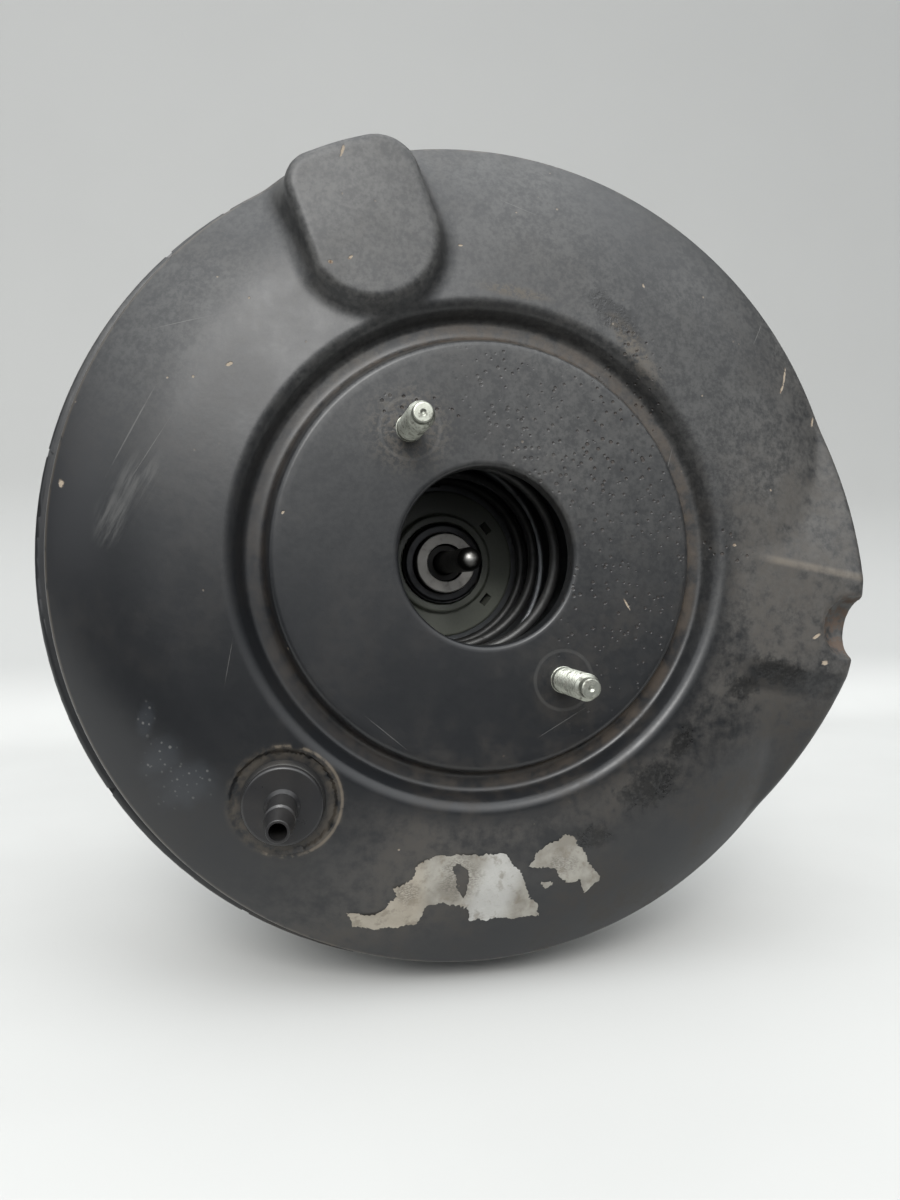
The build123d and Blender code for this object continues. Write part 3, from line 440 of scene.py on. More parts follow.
def torn_paper(name, outline, tear=None, rough=0.42, lift=0.5):
    """Thin closed sheet inside the outline, on the dome, with its edges curling up.

    An edge lifts by lift x exp(-distance / 1.3) where a slow wave along the sheet allows."""
    loops = [ragged(outline, rough)] + ([ragged(tear, rough)] if tear else [])
    border = np.vstack(loops)
    starts = np.cumsum([0] + [len(loop) for loop in loops])
    edges = []
    for first, loop in zip(starts, loops):
        numbers = np.arange(len(loop))
        edges += np.stack([first + numbers, first + (numbers + 1) % len(loop)], axis=1).tolist()
    low, high = border.min(axis=0), border.max(axis=0)
    grid = np.stack(np.meshgrid(*[np.arange(low[k], high[k], PAPER_STEP) for k in (0, 1)]), axis=-1)
    grid = grid.reshape(-1, 2) + paper_random.uniform(-0.15, 0.15, (grid.size // 2, 2))
    away = np.linalg.norm(grid[:, None] - border[None], axis=-1).min(axis=1)
    flat = np.vstack([border, grid[away > 0.4 * PAPER_STEP]])
    found = delaunay_2d_cdt([Vector(p) for p in flat], edges, [], 0, 1e-5)
    flat = np.array([tuple(v) for v in found[0]])
    faces = np.array(found[2])
    middles = flat[faces].mean(axis=1)
    faces = faces[(sum(inside(middles, loop) for loop in loops) % 2).astype(bool)]
    used, faces = np.unique(faces, return_inverse=True)
    flat, faces = flat[used], faces.reshape(-1, 3)
    margin = np.linalg.norm(flat[:, None] - border[None], axis=-1).min(axis=1)
    wave = np.sin(flat[:, 0] * 0.45 + 1.3) * np.cos(flat[:, 1] * 0.38 - 0.6)
    crease = np.abs(np.sin(flat[:, 0] * 0.9 + flat[:, 1] * 0.5)) * np.exp(-((flat[:, 0] - 3) / 7) ** 2)
    rise = 0.06 + lift * np.exp(-margin / 1.3) * np.clip(wave, 0, 1) + 0.16 * crease
    depth = dome_depth(np.linalg.norm(flat, axis=1)) - BODY_DEPTH - rise
    back = np.stack([flat[:, 0], depth, flat[:, 1]], axis=1)
    front = back - (0, PAPER_THICKNESS, 0)
    sides = np.sort(np.vstack([faces[:, [0, 1]], faces[:, [1, 2]], faces[:, [2, 0]]]), axis=1)
    sides, times = np.unique(sides, axis=0, return_counts=True)
    sides = sides[times == 1]
    count = len(flat)
    walls = np.hstack([sides, sides[:, ::-1] + count])
    walls = np.vstack([walls[:, [0, 1, 2]], walls[:, [0, 2, 3]]])
    triangles = np.vstack([faces, faces[:, ::-1] + count, walls])
    return triangle_piece(name, np.vstack([back, front]), triangles)


def triangle_piece(name, points, triangles):
    """A smooth-shaded mesh of triangles from points in millimetres, its faces turned outwards."""
    mesh = bpy.data.meshes.new(name)
    mesh.from_pydata((points * MM).tolist(), [], triangles.tolist())
    shape = bmesh.new()
    shape.from_mesh(mesh)
    bmesh.ops.recalc_face_normals(shape, faces=shape.faces)
    shape.to_mesh(mesh)
    shape.free()
    mesh.polygons.foreach_set("use_smooth", np.ones(len(mesh.polygons), dtype=bool))
    mesh.set_sharp_from_angle(angle=np.radians(50))
    piece = bpy.data.objects.new(name, mesh)
    bpy.context.scene.collection.objects.link(piece)
    print(f"{name}: {len(triangles)} triangles")
    return piece


for scrap in (torn_paper("label_remains", LABEL, LABEL_TEAR), torn_paper("label_scrap", SCRAP),
              torn_paper("label_shred", SHRED, lift=0.2)):
    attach(scrap, "housing")


# %% [markdown]
# ## Threaded studs
#
# A thread is a helical wave on a cylinder: going once round moves it along by one pitch.
# The grid's rows run along the stud and its columns round it, so the wave's phase is the
# height over the pitch less the turn.  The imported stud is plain, and the thread is cut
# into that same outside diameter.

# %% Studs with their threads
STUD_RADIUS = 3.95
PITCH = 1.25
THREAD_DEPTH = 0.72
STUD_HEAD = (7.6, 2.6)
POINT = (2.9, 2.6)
FRONT_GRIP, REAR_GRIP = 3.95, 4.05
FRONT_THREAD, REAR_THREAD = 21.4, 22.4
STUD_COLLAR = STUD_RADIUS + 0.45
REAR_STUD_SPACING = (80, 70)


def stud_surface(grip, thread):
    """Radius and height of a stud's rows, from its head to the tip of its point."""
    head_radius, head = STUD_HEAD
    point_radius, point = POINT
    foot, _ = rounded(
        [(0, -grip - head), (head_radius, -grip - head), (head_radius, -grip), (STUD_COLLAR, -grip),
         (STUD_COLLAR, 0), (STUD_RADIUS, 0), (STUD_RADIUS, 1.2)],
        [0, 0.3, 0.3, 0.2, 0.15, 0.1, 0], step=0.1)
    rows = int(thread * 9)
    shank = np.stack([np.full(rows, STUD_RADIUS), np.linspace(1.3, thread - 1.1, rows)], axis=1)
    tip, _ = rounded(
        [(STUD_RADIUS, thread - 1.0), (point_radius, thread), (point_radius, thread + point),
         (0.9, thread + point), (0.3, thread + point - 0.4), (0, thread + point - 0.4)],
        [0.1, 0.1, 0.5, 0.1, 0.1, 0], step=0.1)
    return np.vstack([foot[::2], shank, tip])


def stud_piece(name, place, face, forward, grip, thread):
    """A stud along Y from the face: forward is -1 or +1.

    Thread radius = R - depth x (1 - clip((|2p - 1| - 0.12) / 0.72, 0, 1)) with
    p = height / pitch - turn, faded out at both ends of the thread."""
    outline = stud_surface(grip, thread)
    radius, height = outline[:, :1], outline[:, 1:]
    angles = np.linspace(0, 2 * np.pi, 48, endpoint=False)
    phase = np.mod(height / PITCH - forward * angles / (2 * np.pi), 1)
    crest = np.clip((np.abs(2 * phase - 1) - 0.12) / 0.72, 0, 1)
    fade = np.clip((height - 1.6) / 1.2, 0, 1) * np.clip((thread - 0.7 - height) / 0.7, 0, 1)
    radius = radius - THREAD_DEPTH * (1 - crest) * fade
    across, up = radius * np.cos(angles), radius * np.sin(angles)
    along = face + forward * height
    points = np.stack(np.broadcast_arrays(place[0] + across, along, place[1] + up), axis=-1)
    piece = grid_piece(name, points, sharp=40)
    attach(piece, "housing")
    return piece


STUD_TURN = np.radians(122.3)
STUD_CIRCLE = 44.0
STUD_PLACES = [(s * STUD_CIRCLE * np.cos(STUD_TURN), s * STUD_CIRCLE * np.sin(STUD_TURN)) for s in (1, -1)]
FRONT_STUDS, REAR_STUDS = [], []
for number, place in enumerate(STUD_PLACES):
    FRONT_STUDS.append(stud_piece(f"front_stud_{number}", place, -BODY_DEPTH, -1, FRONT_GRIP, FRONT_THREAD))
for number, (right, up) in enumerate([(1, 1), (1, -1), (-1, -1), (-1, 1)]):
    place = (right * REAR_STUD_SPACING[0] / 2, up * REAR_STUD_SPACING[1] / 2)
    REAR_STUDS.append(stud_piece(f"rear_stud_{number}", place, 0.0, 1, REAR_GRIP, REAR_THREAD))
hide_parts("master_cylinder_studs")
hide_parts("bulkhead_studs")


# %% [markdown]
# ## Springs and rubber that follow their joints
#
# The springs, the diaphragm and the boot are seated at both ends, so when the piston
# moves they shorten.  The check valve's spring does so with its disc.  Here a copy of each
# imported piece is hung on the body at one of its ends, and the imported piece is hidden;
# the copies keep their shape.

# %% Copies of springs and rubber
def soften(node, body):
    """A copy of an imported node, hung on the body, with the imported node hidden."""
    mesh = NODES[node].data.copy()
    piece = bpy.data.objects.new(node + "_soft", mesh)
    bpy.context.scene.collection.objects.link(piece)
    points = np.empty(len(mesh.vertices) * 3)
    mesh.vertices.foreach_get("co", points)
    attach(piece, body)
    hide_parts(node)
    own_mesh(piece)


soften("return_spring", "housing")
soften("diaphragm", "housing")
soften("dust_boot", "housing")
soften("rod_return_spring", "power_piston")
soften("poppet_spring", "power_piston")
soften("poppet_sleeve", "power_piston")
soften("check_valve_spring", "housing")


# %% [markdown]
# ## Shader maths as expressions
#
# A procedural finish is arithmetic on coordinates: distances, noises and thresholds.
# Wiring Math nodes by hand hides the formula, so a small class wraps a socket, and the
# usual operators on it add the nodes.

# %% A socket that can be added and multiplied
class Value:
    """One output of a finish's node tree; arithmetic on it adds Math nodes."""

    def __init__(self, finish, socket):
        self.finish = finish
        self.socket = socket

    def _math(self, operation, first, second):
        return self.finish.add("ShaderNodeMath", {"operation": operation}, {0: first, 1: second})

    def __add__(self, other):
        return self._math("ADD", self, other)

    def __sub__(self, other):
        return self._math("SUBTRACT", self, other)

    def __rsub__(self, other):
        return self._math("SUBTRACT", other, self)

    def __mul__(self, other):
        return self._math("MULTIPLY", self, other)

    def __truediv__(self, other):
        return self._math("DIVIDE", self, other)

    def __pow__(self, other):
        return self._math("POWER", self, other)

    def smaller(self, other):
        return self._math("MINIMUM", self, other)

    __radd__ = __add__
    __rmul__ = __mul__


class Finish:
    """A material with a Principled shader, and the piece's coordinates in millimetres."""

    def __init__(self, name, **constants):
        self.material = bpy.data.materials.new(name)
        self.material.use_nodes = True
        self.tree = self.material.node_tree
        self.shader = self.tree.nodes["Principled BSDF"]
        for socket, value in constants.items():
            self.shader.inputs[socket.replace("_", " ")].default_value = value
        place = self.add("ShaderNodeTexCoord", {}, {}, "Object")
        self.place = self.add("ShaderNodeVectorMath", {"operation": "SCALE"}, {0: place, "Scale": 1000.0})
        self.x, self.y, self.z = (
            self.add("ShaderNodeSeparateXYZ", {}, {0: self.place}, axis) for axis in range(3)
        )
        self.depth = self.y + BODY_DEPTH

    def add(self, kind, settings, inputs, output=0):
        """Adds a node: its settings first, then its sockets' values or links."""
        node = self.tree.nodes.new(kind)
        for name, setting in settings.items():
            setattr(node, name, setting)
        for name, value in inputs.items():
            if isinstance(value, Value):
                self.tree.links.new(value.socket, node.inputs[name])
            else:
                node.inputs[name].default_value = value
        return Value(self, node.outputs[output])

    def noise(self, size, detail=3.0, rough=0.55, stretch=None, shift=0.0, place=None):
        """Noise from 0 to 1 with patches about size millimetres across."""
        place = place or self.place
        if stretch is not None:
            place = self.add("ShaderNodeVectorMath", {"operation": "MULTIPLY"}, {0: place, 1: stretch})
        if shift:
            place = self.add("ShaderNodeVectorMath", {"operation": "ADD"}, {0: place, 1: (shift,) * 3})
        return self.add(
            "ShaderNodeTexNoise", {"noise_dimensions": "3D"},
            {"Vector": place, "Scale": 1.0 / size, "Detail": detail, "Roughness": rough}, "Fac",
        )

    def cells(self, size, shift=0.0):
        """Distance to the nearest of scattered points, about size millimetres apart."""
        place = self.add("ShaderNodeVectorMath", {"operation": "ADD"}, {0: self.place, 1: (shift,) * 3})
        return self.add(
            "ShaderNodeTexVoronoi", {"feature": "F1"}, {"Vector": place, "Scale": 1.0 / size}, "Distance"
        )

    def rise(self, value, low, high):
        """0 below low, 1 above high, and a smooth step between them."""
        return self.add(
            "ShaderNodeMapRange", {"interpolation_type": "SMOOTHSTEP"},
            {"Value": value, "From Min": low, "From Max": high, "To Min": 0.0, "To Max": 1.0},
        )

    def fall(self, value, low, high):
        """1 below low and 0 above high."""
        return 1 - self.rise(value, low, high)

    def radius(self, x=0.0, z=0.0):
        """Distance from a line along Y through (x, z)."""
        return ((self.x - x) ** 2.0 + (self.z - z) ** 2.0) ** 0.5

    def turned(self, x, z, tilt):
        """Distances from (x, z) along and across a direction tilt degrees above X."""
        cosine, sine = float(np.cos(np.radians(tilt))), float(np.sin(np.radians(tilt)))
        right, up = self.x - x, self.z - z
        return right * cosine + up * sine, up * cosine - right * sine

    def ovals(self, places, ragged, low=0.6, high=1.0):
        """Patches of (x, z, half length, half width, tilt), their edges broken up by a noise.

        Each gives the distance as a share of its half sizes; the smallest plus noise is cut off."""
        nearest = None
        for x, z, long, short, tilt in places:
            along, across = self.turned(x, z, tilt)
            here = ((along / long) ** 2.0 + (across / short) ** 2.0) ** 0.5
            nearest = here if nearest is None else nearest.smaller(here)
        return self.fall(nearest + (ragged - 0.5) * 1.6, low, high)

    def line(self, value, middle, half, soft):
        """1 where the value is within half of the middle, fading over soft more."""
        return self.fall(((value - middle) ** 2.0) ** 0.5, half, half + soft)

    def clamp(self, value):
        """The value kept between 0 and 1."""
        return self.add("ShaderNodeClamp", {}, {"Value": value})

    def mix(self, share, first, second):
        """Colour between two colours."""
        return self.add(
            "ShaderNodeMix", {"data_type": "RGBA"},
            {0: share, 6: self._color(first), 7: self._color(second)}, 2,
        )

    def _color(self, color):
        return color if isinstance(color, Value) else (*color, 1.0)

    def set(self, **sockets):
        """Links values to the shader's own sockets."""
        for name, value in sockets.items():
            socket = self.shader.inputs[name.replace("_", " ")]
            self.tree.links.new(value.socket, socket)

    def bump(self, height, strength=1.0):
        """Height in millimetres turned into a normal for the shader."""
        normal = self.add(
            "ShaderNodeBump", {}, {"Strength": strength, "Distance": MM, "Height": height}, "Normal"
        )
        self.tree.links.new(normal.socket, self.shader.inputs["Normal"])


def dress(material, *names):
    """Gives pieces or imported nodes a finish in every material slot."""
    for name in names:
        mesh = (NODES.get(name) or bpy.data.objects[name]).data
        if not mesh.materials:
            mesh.materials.append(material)
        for index in range(len(mesh.materials)):
            mesh.materials[index] = material
    print(material.name, "->", ", ".join(names))


# %% [markdown]
# ## Satin black paint with years of wear
#
# The shell's paint is a thin satin black over steel.  Under it all is one dark colour;
# the life is in what lies on it: a film of tan dust that gathers in the groove and
# round the port, whitish wipe marks that are partly a painted soft reflection, greasy
# dark patches, pale chips, rust and pits.  Thin tan lines on the saddle's upper edge and
# the shell's edge are painted highlights, and a band under the saddle stays black as a
# painted shadow.  Each is a mask from 0 to 1, and the masks mix colour, roughness and
# height together.

# %% Satin black paint
BLACK = (0.0095, 0.0102, 0.0115)
DUST = (0.15, 0.118, 0.078)
PALE_DUST = (0.26, 0.255, 0.24)
TAN = (0.34, 0.28, 0.21)
RUST = (0.10, 0.055, 0.03)
GRIME = (0.022, 0.0175, 0.013)
CHIPS = [
    (-121.6, 20.4, 1.7, 0.9, 100), (-74.7, 53.8, 1.3, 0.7, 20), (102.5, 60.0, 4.2, 0.55, 68),
    (100.4, 55.6, 2.4, 0.5, 55), (114.5, 46.1, 2.6, 0.7, 65), (-43.2, 114.0, 2.0, 0.6, 70),
    (-46.6, 82.6, 1.0, 0.6, 10), (-41.0, 84.2, 1.2, 0.5, 40), (79.7, 4.2, 0.9, 0.6, 0),
    (108.7, -24.9, 1.6, 0.7, 30), (111.8, -33.4, 1.3, 1.0, 0), (50.0, 84.0, 1.0, 0.5, 120),
    (43.6, -14.2, 2.6, 0.35, 120), (-8.0, 92.0, 0.8, 0.5, 0), (-60.0, 12.0, 0.7, 0.4, 45),
]
SCRATCHES = [
    (-101.0, 36.0, 13.0, 0.22, 62), (-96.0, 30.0, 10.0, 0.16, 58), (23.0, -50.0, 9.0, 0.15, 30),
    (-30.0, -52.0, 8.0, 0.14, 140), (60.0, 30.0, 7.0, 0.14, 75), (93.0, 74.0, 7.0, 0.16, 55),
    (-88.0, 66.0, 9.0, 0.14, 12), (-75.0, -30.0, 7.0, 0.13, 80), (10.0, 106.0, 6.0, 0.14, 160),
]
# Whitish wipe patches on the left of the ring; the first also stands for a painted soft reflection.
WIPE_AND_REFLECTION_PATCHES = [(-99.0, 22.0, 15.0, 7.5, 62), (-106.0, 12.0, 9.0, 5.0, 70)]
SPLASHES = [(-93.5, -56.8, 9.0, 6.0, 60), (-88.0, -66.0, 10.0, 8.0, 20), (-98.0, -47.0, 6.0, 3.0, 80)]
PITTED = [(79.7, 4.2, 9.0, 6.0, 0), (-19.0, 42.0, 14.0, 8.0, 10), (44.0, 46.0, 16.0, 26.0, -20)]
GREASE = [
    (52.1, -70.6, 14.0, 9.0, 25), (62.0, -58.0, 8.0, 5.0, 60), (96.0, -36.0, 13.0, 6.0, -20),
    (84.0, -41.0, 7.0, 5.0, 10), (34.0, -86.0, 8.0, 5.0, 0), (40.0, 74.0, 14.0, 6.0, -40),
]
PORT_PLACE = (-59.6, -70.9)
print("marks on the paint:", sum(map(len, (CHIPS, SCRATCHES, WIPE_AND_REFLECTION_PATCHES, SPLASHES, PITTED, GREASE))))


# %% Where film, grime and dust lie
paint = Finish("satin_black_paint", Metallic=0.0, IOR=1.5)
ring = paint.radius()
cloud = paint.noise(70, 2.0)
blot = paint.noise(28, 4.0, 0.62, shift=7.0)
streak = paint.noise(16, 3.0, 0.65)
fine = paint.noise(1.4, 3.0, 0.7)
grain = paint.noise(4.0, 4.0, 0.7, shift=11.0)
front = paint.fall(paint.depth, 30, 36)
upper_right = paint.rise(paint.x * 0.45 + paint.z * 0.9, -45, 45)
lower_right = paint.rise(paint.x * 0.7 - paint.z * 0.75, 5, 70)

film = (0.35 + 0.65 * paint.rise(cloud, 0.3, 0.7)) * upper_right
film = film + 0.45 * paint.fall(paint.depth, -2.6, -1.6)
grime = paint.rise(blot, 0.45, 0.62) * (0.25 + 0.75 * lower_right) * paint.rise(grain, 0.3, 0.6)
settled = lower_right * paint.rise(blot * 0.5 + grain * 0.5, 0.34, 0.58) * paint.rise(ring, 76, 84)
settled = settled * paint.rise(paint.z + 104 - paint.x * 0.5, -20, 30)
groove = paint.line(ring, 67.4, 1.6, 2.2)
groove_side = paint.rise(paint.x * 0.9 + paint.z * 0.4, -60, 40)
groove_dust = groove * (0.25 + 0.75 * groove_side) * paint.rise(streak * 0.5 + grain * 0.5, 0.38, 0.60)
lip_dust = paint.ovals([(46.0, 64.0, 16.0, 4.5, -52), (8.0, 79.0, 14.0, 2.5, -8)], grain, 0.4, 1.1)
lip_dust = lip_dust * paint.rise(fine * 0.4 + grain * 0.6, 0.42, 0.58)
port_ring = paint.radius(*PORT_PLACE)
port_dust = paint.line(port_ring, 14.6, 0.8, 2.6) * paint.rise(grain, 0.36, 0.62)
port_rim = paint.line(port_ring, 16.4, 0.15, 0.5) * paint.rise(grain + (paint.x + 60) * 0.012, 0.46, 0.62)
stud_dust = paint.fall(paint.radius(*STUD_PLACES[0]), 6, 17) * paint.rise(fine, 0.42, 0.62)
stud_ring = paint.radius(*STUD_PLACES[0]).smaller(paint.radius(*STUD_PLACES[1]))
stud_mark = paint.line(stud_ring, 9.0, 0.25, 0.5)
dust = paint.clamp(groove_dust * 0.3 + port_dust * 0.42 + stud_dust * 0.4 + lip_dust * 0.6)

print("dust masks are ready")


# %% Wipes and a painted reflection, splashes, grease, pits and chips
along, across = paint.turned(*WIPE_AND_REFLECTION_PATCHES[0][:2], WIPE_AND_REFLECTION_PATCHES[0][4])
brush_place = paint.add("ShaderNodeCombineXYZ", {}, {0: across, 1: along * 0.12})
brushed = paint.noise(2.6, 4.0, 0.65, place=brush_place)
wipe_and_reflection = paint.ovals(WIPE_AND_REFLECTION_PATCHES, blot, 0.2, 1.1) * paint.rise(brushed, 0.40, 0.66)
splash = paint.ovals(SPLASHES, streak, 0.3, 1.1)
specks = paint.fall(paint.cells(1.9, 5.0) + grain * 0.45, 0.34, 0.50) * splash
grease = paint.ovals(GREASE, grain, 0.45, 0.95) * paint.rise(fine * 0.5 + grain * 0.5, 0.36, 0.52)
pit_zone = paint.rise(paint.x + paint.z * 0.35, 0, 40) * paint.fall(ring, 58, 66)
pit_zone = paint.clamp(pit_zone * 0.7 + paint.ovals(PITTED, streak))
pits = paint.fall(paint.cells(2.3) + streak * 0.55, 0.40, 0.52) * pit_zone
sprinkle = paint.fall(paint.cells(6.5, 3.0) + fine * 0.1, 0.09, 0.12) * paint.rise(cloud, 0.52, 0.62)
chip = paint.clamp(paint.ovals(CHIPS, fine, 0.5, 0.95) + sprinkle * 0.7)
scratch = paint.ovals(SCRATCHES, grain, 0.3, 1.3)
print("marks are ready")


# %% The saddle, its scoop and the shell's edge
strip_along, strip_across = paint.turned(0.0, 0.0, float(np.degrees(SADDLE_ANGLE)))
on_saddle = paint.rise(strip_along, 84, 96)
# A broken tan line along the saddle's upper edge is a painted highlight of its rounded edge.
strip_edge_highlight = paint.line(strip_across, SADDLE_HALF_WIDTH + 0.4, 0.3, 1.6) * on_saddle * (0.45 + grain * 0.8)
# Under the saddle's lower edge a band is kept clear of the pale dust, so it stays black as a painted shadow
# of the flank.
painted_shadow_under_strip = paint.line(strip_across, -SADDLE_HALF_WIDTH - 4.5, 2.0, 4.0) * on_saddle
settled = settled * (1 - paint.clamp(painted_shadow_under_strip * 1.3 + (grain - 0.5) * painted_shadow_under_strip))
scoop_ring = paint.radius(float(scoop_x), float(scoop_z))
scoop_rust = paint.fall(scoop_ring, 8.0, 12.0) * paint.rise(grain, 0.45, 0.60)
# A thin broken tan line on the shell's outer edge, stronger on the left, is a painted highlight of the
# edge's bright rim.
edge_highlight_breakup = paint.rise(grain - paint.x * 0.0012, 0.42, 0.60)
shell_edge_highlight = paint.line(ring, EDGE_RADIUS - 0.5, 0.1, 0.5) * edge_highlight_breakup
print("edge masks are ready")


# %% The paint's colour, roughness and height
# The saddle's and the shell's edge lines together: painted highlights, mixed in tan below.
painted_edge_highlights = paint.clamp(strip_edge_highlight * 0.35 + shell_edge_highlight * 0.2) * front
mottle = paint.rise(grain * 0.5 + fine * 0.5, 0.38, 0.62)
color = paint.mix(film * (0.06 + 0.14 * mottle), BLACK, PALE_DUST)
color = paint.mix(grime * 0.55, color, GRIME)
color = paint.mix(settled * 0.22, color, (0.17, 0.155, 0.135))
color = paint.mix(grease * 0.85, color, (0.005, 0.005, 0.005))
color = paint.mix(dust * 0.5, color, DUST)
color = paint.mix(groove_dust * 0.35, color, (0.075, 0.050, 0.032))
color = paint.mix(port_rim * 0.22, color, TAN)
color = paint.mix(stud_mark * 0.07, color, PALE_DUST)
# Whitish wipe marks, partly a painted soft reflection.
color = paint.mix(wipe_and_reflection * 0.15, color, PALE_DUST)
color = paint.mix(splash * 0.05, color, (0.20, 0.23, 0.27))
color = paint.mix(specks * 0.30, color, PALE_DUST)
color = paint.mix(scratch * 0.20, color, PALE_DUST)
color = paint.mix(pits * 0.6, color, (0.030, 0.020, 0.014))
color = paint.mix(scoop_rust * 0.5, color, RUST)
# Painted highlights on the edges of the saddle and the shell.
color = paint.mix(painted_edge_highlights * 0.55, color, TAN)
color = paint.mix(chip * 0.85, color, paint.mix(paint.rise(grain, 0.54, 0.66), TAN, RUST))
roughness = 0.33 + film * 0.10 + dust * 0.35 + wipe_and_reflection * 0.16 + chip * 0.4 + pits * 0.2
roughness = roughness + (fine - 0.5) * 0.10 + (blot - 0.5) * 0.16 + grime * 0.14 + settled * 0.12
roughness = roughness + scoop_rust * 0.3 + specks * 0.2 - grease * 0.10
paint.set(Base_Color=color, Roughness=roughness)
paint.bump(
    streak * 0.05 + fine * (0.014 + dust * 0.06 + grease * 0.10) + wipe_and_reflection * 0.01 + specks * 0.02
    - pits * 0.30 - chip * 0.09 - scratch * 0.02 - stud_mark * 0.01 + blot * 0.10
)
dress(paint.material, "front_shell_sheet", "rear_shell")


# %% [markdown]
# ## Plated, bare and sprung steel
#
# The small steel pieces differ in their film: zinc is pale, slightly blue and matt where
# it was tumbled, the plates are oiled mill steel, and spring wire is dark phosphate that
# shines only where coils rubbed.  One function makes them all from a colour, a
# roughness and how much grime sits on them.

# %% Steel finishes
def steel(name, base, rough, grime, metallic=1.0, scratch=0.1, size=6.0):
    """Steel with cloudy tarnish, fine scratches and dirt in patches."""
    finish = Finish(name, Metallic=metallic)
    tarnish = finish.noise(size, 4.0, 0.6)
    lines = finish.noise(0.35, 3.0, 0.6, stretch=(1.0, 0.15, 1.0))
    speck = finish.noise(0.9, 3.0, 0.65, shift=4.0)
    dirt = finish.rise(tarnish * 0.6 + speck * 0.4, 0.60 - 0.25 * grime, 0.72 - 0.2 * grime)
    dull = tuple(c * 0.45 for c in base)
    shade = finish.mix(finish.rise(tarnish, 0.35, 0.7) * 0.5, base, dull)
    shade = finish.mix(dirt * (0.35 + 0.6 * grime), shade, (0.045, 0.036, 0.026))
    finish.set(
        Base_Color=shade,
        Roughness=rough + (lines - 0.5) * (2 * scratch) + dirt * 0.3,
        Metallic=metallic - dirt * (0.7 * metallic),
    )
    finish.bump(lines * 0.01 + speck * 0.006 + dirt * 0.02)
    return finish.material


zinc = steel("zinc_plate", (0.62, 0.62, 0.60), 0.32, 0.25)
mill_steel = steel("oiled_plate", (0.20, 0.20, 0.205), 0.30, 0.25, size=14.0)
plate_steel = steel("grey_plate", (0.34, 0.35, 0.36), 0.33, 0.15, size=20.0)
wire = steel("spring_wire", (0.10, 0.10, 0.098), 0.50, 0.15, metallic=0.7)
rod_steel = steel("turned_steel", (0.16, 0.16, 0.165), 0.26, 0.15)
stud_zinc = steel("stud_zinc", (0.42, 0.43, 0.375), 0.40, 0.42, size=2.5)
dress(zinc, "lock_nut", "clevis", "input_rod", "rod_spring_seat", "poppet_retainer", "stop_key",
      "seal_retainer")
dress(stud_zinc, *[piece.name for piece in FRONT_STUDS + REAR_STUDS])
dress(mill_steel, "front_reinforcement", "rear_reinforcement")
dress(plate_steel, "diaphragm_plate")
dress(wire, "return_spring_soft", "poppet_spring_soft", "rod_return_spring_soft")
dress(rod_steel, "valve_plunger")
# The rod retainer's steel is nearly black: painted shade for the dark ring deep in the bore.
dress(steel("painted_shade_steel", (0.045, 0.045, 0.047), 0.34, 0.2), "rod_retainer")


# %% The output rod: dark shank, ground collar, bright tip
rod = Finish("output_rod_steel", Metallic=1.0)
rod_ring = rod.radius()
rod_smear = rod.noise(3.0, 4.0, 0.65)
rod_turning = rod.noise(0.3, 2.0, 0.5, stretch=(1.0, 6.0, 1.0))
collar = rod.line(rod_ring, 9.1, 2.1, 0.2) * rod.line(rod.depth, 66.3, 1.0, 0.5)
tip = rod.fall(rod.depth + rod_smear * 2.0, 23.6, 24.8)
rod_color = rod.mix(collar * (0.75 + rod_smear * 0.25), (0.035, 0.034, 0.033), (0.48, 0.46, 0.43))
rod_color = rod.mix(tip, rod_color, (0.30, 0.295, 0.28))
rod_color = rod.mix(rod.rise(rod_smear, 0.50, 0.70) * 0.3, rod_color, (0.05, 0.04, 0.032))
rod.set(Base_Color=rod_color, Roughness=0.34 + rod_smear * 0.2 + (rod_turning - 0.5) * 0.1 + collar * 0.06)
rod.bump(rod_turning * 0.01 + rod_smear * 0.01)
dress(rod.material, "output_rod")


# %% Rubber, plastic and foam
def moulded(name, base, rough, grain, dusty, size=1.2):
    """Rubber or plastic: one colour with a fine moulded grain and dust in patches."""
    finish = Finish(name, Metallic=0.0)
    patch = finish.noise(18, 4.0, 0.6)
    texture = finish.noise(size, 3.0, 0.6, shift=2.0)
    film = finish.rise(patch, 0.42, 0.72) * dusty
    shade = finish.mix(film, base, (0.20, 0.175, 0.14))
    shade = finish.mix(finish.rise(texture, 0.45, 0.8) * 0.25, shade, tuple(c * 0.6 for c in base))
    finish.set(Base_Color=shade, Roughness=rough + film * 0.5 + (texture - 0.5) * 0.16)
    finish.bump(texture * grain + finish.noise(7, 2.0) * grain)
    return finish.material


rubber = moulded("black_rubber", (0.016, 0.016, 0.016), 0.52, 0.035, 0.14)
port_plastic = moulded("port_plastic", (0.014, 0.014, 0.015), 0.30, 0.012, 0.05)
piston_plastic = moulded("piston_plastic", (0.20, 0.21, 0.175), 0.36, 0.015, 0.05)
pale_plastic = moulded("natural_plastic", (0.60, 0.58, 0.52), 0.40, 0.01, 0.05)
foam = moulded("filter_foam", (0.055, 0.055, 0.055), 0.85, 0.25, 0.10, size=0.7)
dress(rubber, "check_valve_grommet", "hub_seal", "diaphragm_soft", "dust_boot_soft", "reaction_disc",
      "poppet", "poppet_sleeve_soft", "check_valve_disc")
dress(port_plastic, "check_valve_body", "check_valve_base", "filter_retainer")
dress(piston_plastic, "valve_body")
dress(pale_plastic, "hub_bearing")
dress(foam, "air_filter", "silencer")


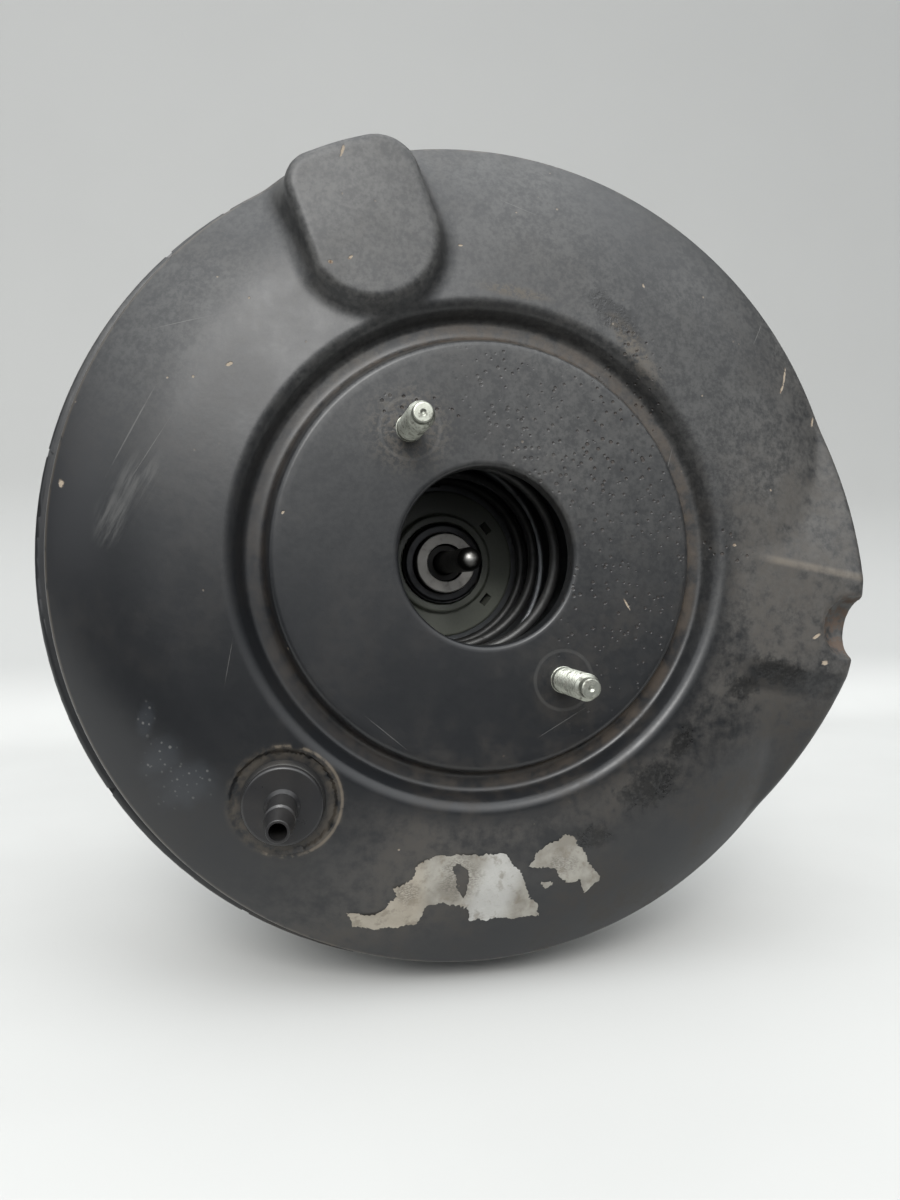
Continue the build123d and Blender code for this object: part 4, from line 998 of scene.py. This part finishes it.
# %% Old paper
RUBBED = [(-8.0, -96.0, 7.0, 8.0, 0), (-24.0, -100.0, 4.0, 5.0, 30), (24.0, -94.0, 5.0, 4.0, 0)]
paper = Finish("torn_paper", Roughness=0.8)
paper_cloud = paper.noise(9, 4.0, 0.6)
paper_fibre = paper.noise(0.8, 4.0, 0.7, stretch=(1.0, 1.0, 2.5))
paper_stain = paper.noise(4.0, 4.0, 0.65, shift=9.0)
creased = paper.line(paper.x * 0.9 - paper.z * 0.35, 38.0, 3.0, 6.0)
paper_rub = paper.ovals(RUBBED, paper_stain, 0.5, 1.1) * paper.rise(paper_fibre, 0.42, 0.58)
paper_color = paper.mix(paper.rise(paper_cloud, 0.35, 0.65), (0.16, 0.148, 0.125), (0.25, 0.24, 0.21))
paper_color = paper.mix(paper.fall(paper.x, -22, -16) * 0.6, paper_color, (0.29, 0.255, 0.20))
paper_color = paper.mix(creased * 0.7, paper_color, (0.36, 0.36, 0.345))
paper_color = paper.mix(paper.rise(paper_stain, 0.52, 0.68) * 0.55, paper_color, (0.12, 0.10, 0.075))
paper_color = paper.mix(paper_rub * 0.6, paper_color, (0.07, 0.06, 0.05))
paper_color = paper.mix(paper.rise(paper_fibre, 0.50, 0.75) * 0.25, paper_color, (0.20, 0.19, 0.17))
paper.set(Base_Color=paper_color, Roughness=0.62 + paper_fibre * 0.3 - creased * 0.15)
paper.bump(paper_fibre * 0.03 + paper_cloud * 0.10 + creased * paper_stain * 0.35)
dress(paper.material, "label_remains", "label_scrap", "label_shred")


# %% [markdown]
# ## Floor, backdrop and light
#
# The stage is one sheet: a floor that bends up into a wall behind the object, so that no
# line crosses the picture.  Most light comes from a soft sky that is brightest above and
# in front, and shows in the sloping ring as a slow gradient from grey to black.  A small
# key light in front reaches into the bore, and a weak one lifts the left side.

# %% The stage
FLOOR_Z = -RIM_RADIUS - 0.2
FLOOR_FRONT, WALL, WALL_TOP, WALL_BEND = -225, 620, 1300, 240
stage_corners = [(FLOOR_FRONT, FLOOR_Z), (WALL, FLOOR_Z), (WALL, WALL_TOP)]
stage_line, _ = rounded(stage_corners, [0, WALL_BEND, 0], step=10)
across = np.linspace(-1400, 1400, 9)
stage_points = np.stack(
    np.broadcast_arrays(across[None], stage_line[:, :1], stage_line[:, 1:]), axis=-1
)
floor = grid_piece("stage_floor", stage_points, wrap_columns=False, sharp=60)
card = Finish("stage_card", Roughness=0.7)
card_tone = card.noise(160, 3.0)
card_grain = card.noise(1.5, 3.0)
card_floor = card.fall(card.z, FLOOR_Z + 5, FLOOR_Z + 60)
card_color = card.mix(card_floor, (0.385, 0.385, 0.375), (0.535, 0.535, 0.52))
card.set(Base_Color=card.mix(card.rise(card_tone, 0.3, 0.75) * 0.12, card_color, (0.33, 0.33, 0.32)))
card.bump(card_grain * 0.02)
dress(card.material, "stage_floor")


# %% Lights
def soft_light(name, place, aim, size, power, color=(1, 1, 1)):
    """A square area light at a place in metres, turned to face the aim."""
    data = bpy.data.lights.new(name, "AREA")
    data.shape, data.size, data.energy, data.color = "SQUARE", size, power, color
    lamp = bpy.data.objects.new(name, data)
    lamp.location = place
    lamp.rotation_euler = (Vector(aim) - Vector(place)).to_track_quat("-Z", "Y").to_euler()
    bpy.context.scene.collection.objects.link(lamp)
    return lamp


MIDDLE = (0.0, -0.05, 0.0)
soft_light("key", (-0.28, -1.25, 0.74), MIDDLE, 0.5, 12, (1.0, 0.99, 0.97))
soft_light("side", (-1.3, -0.6, 0.35), MIDDLE, 0.8, 1.5, (0.95, 0.97, 1.0))

SKY_AXIS = (-0.05, -0.50, 0.865)
SKY_LOW, SKY_HIGH = 0.06, 2.9
world = bpy.data.worlds.new("studio")
world.use_nodes = True
sky = world.node_tree
direction = sky.nodes.new("ShaderNodeTexCoord")
toward = sky.nodes.new("ShaderNodeVectorMath")
toward.operation = "DOT_PRODUCT"
toward.inputs[1].default_value = SKY_AXIS
glow = sky.nodes.new("ShaderNodeMapRange")
glow.interpolation_type = "SMOOTHSTEP"
for name, value in (("From Min", 0.30), ("From Max", 1.0), ("To Min", SKY_LOW), ("To Max", SKY_HIGH)):
    glow.inputs[name].default_value = value
sky.links.new(direction.outputs["Generated"], toward.inputs[0])
sky.links.new(toward.outputs["Value"], glow.inputs["Value"])
sky.links.new(glow.outputs[0], sky.nodes["Background"].inputs["Strength"])
sky.nodes["Background"].inputs["Color"].default_value = (0.955, 0.98, 1.0, 1)
bpy.context.scene.world = world
bpy.context.scene.view_settings.view_transform = "Standard"
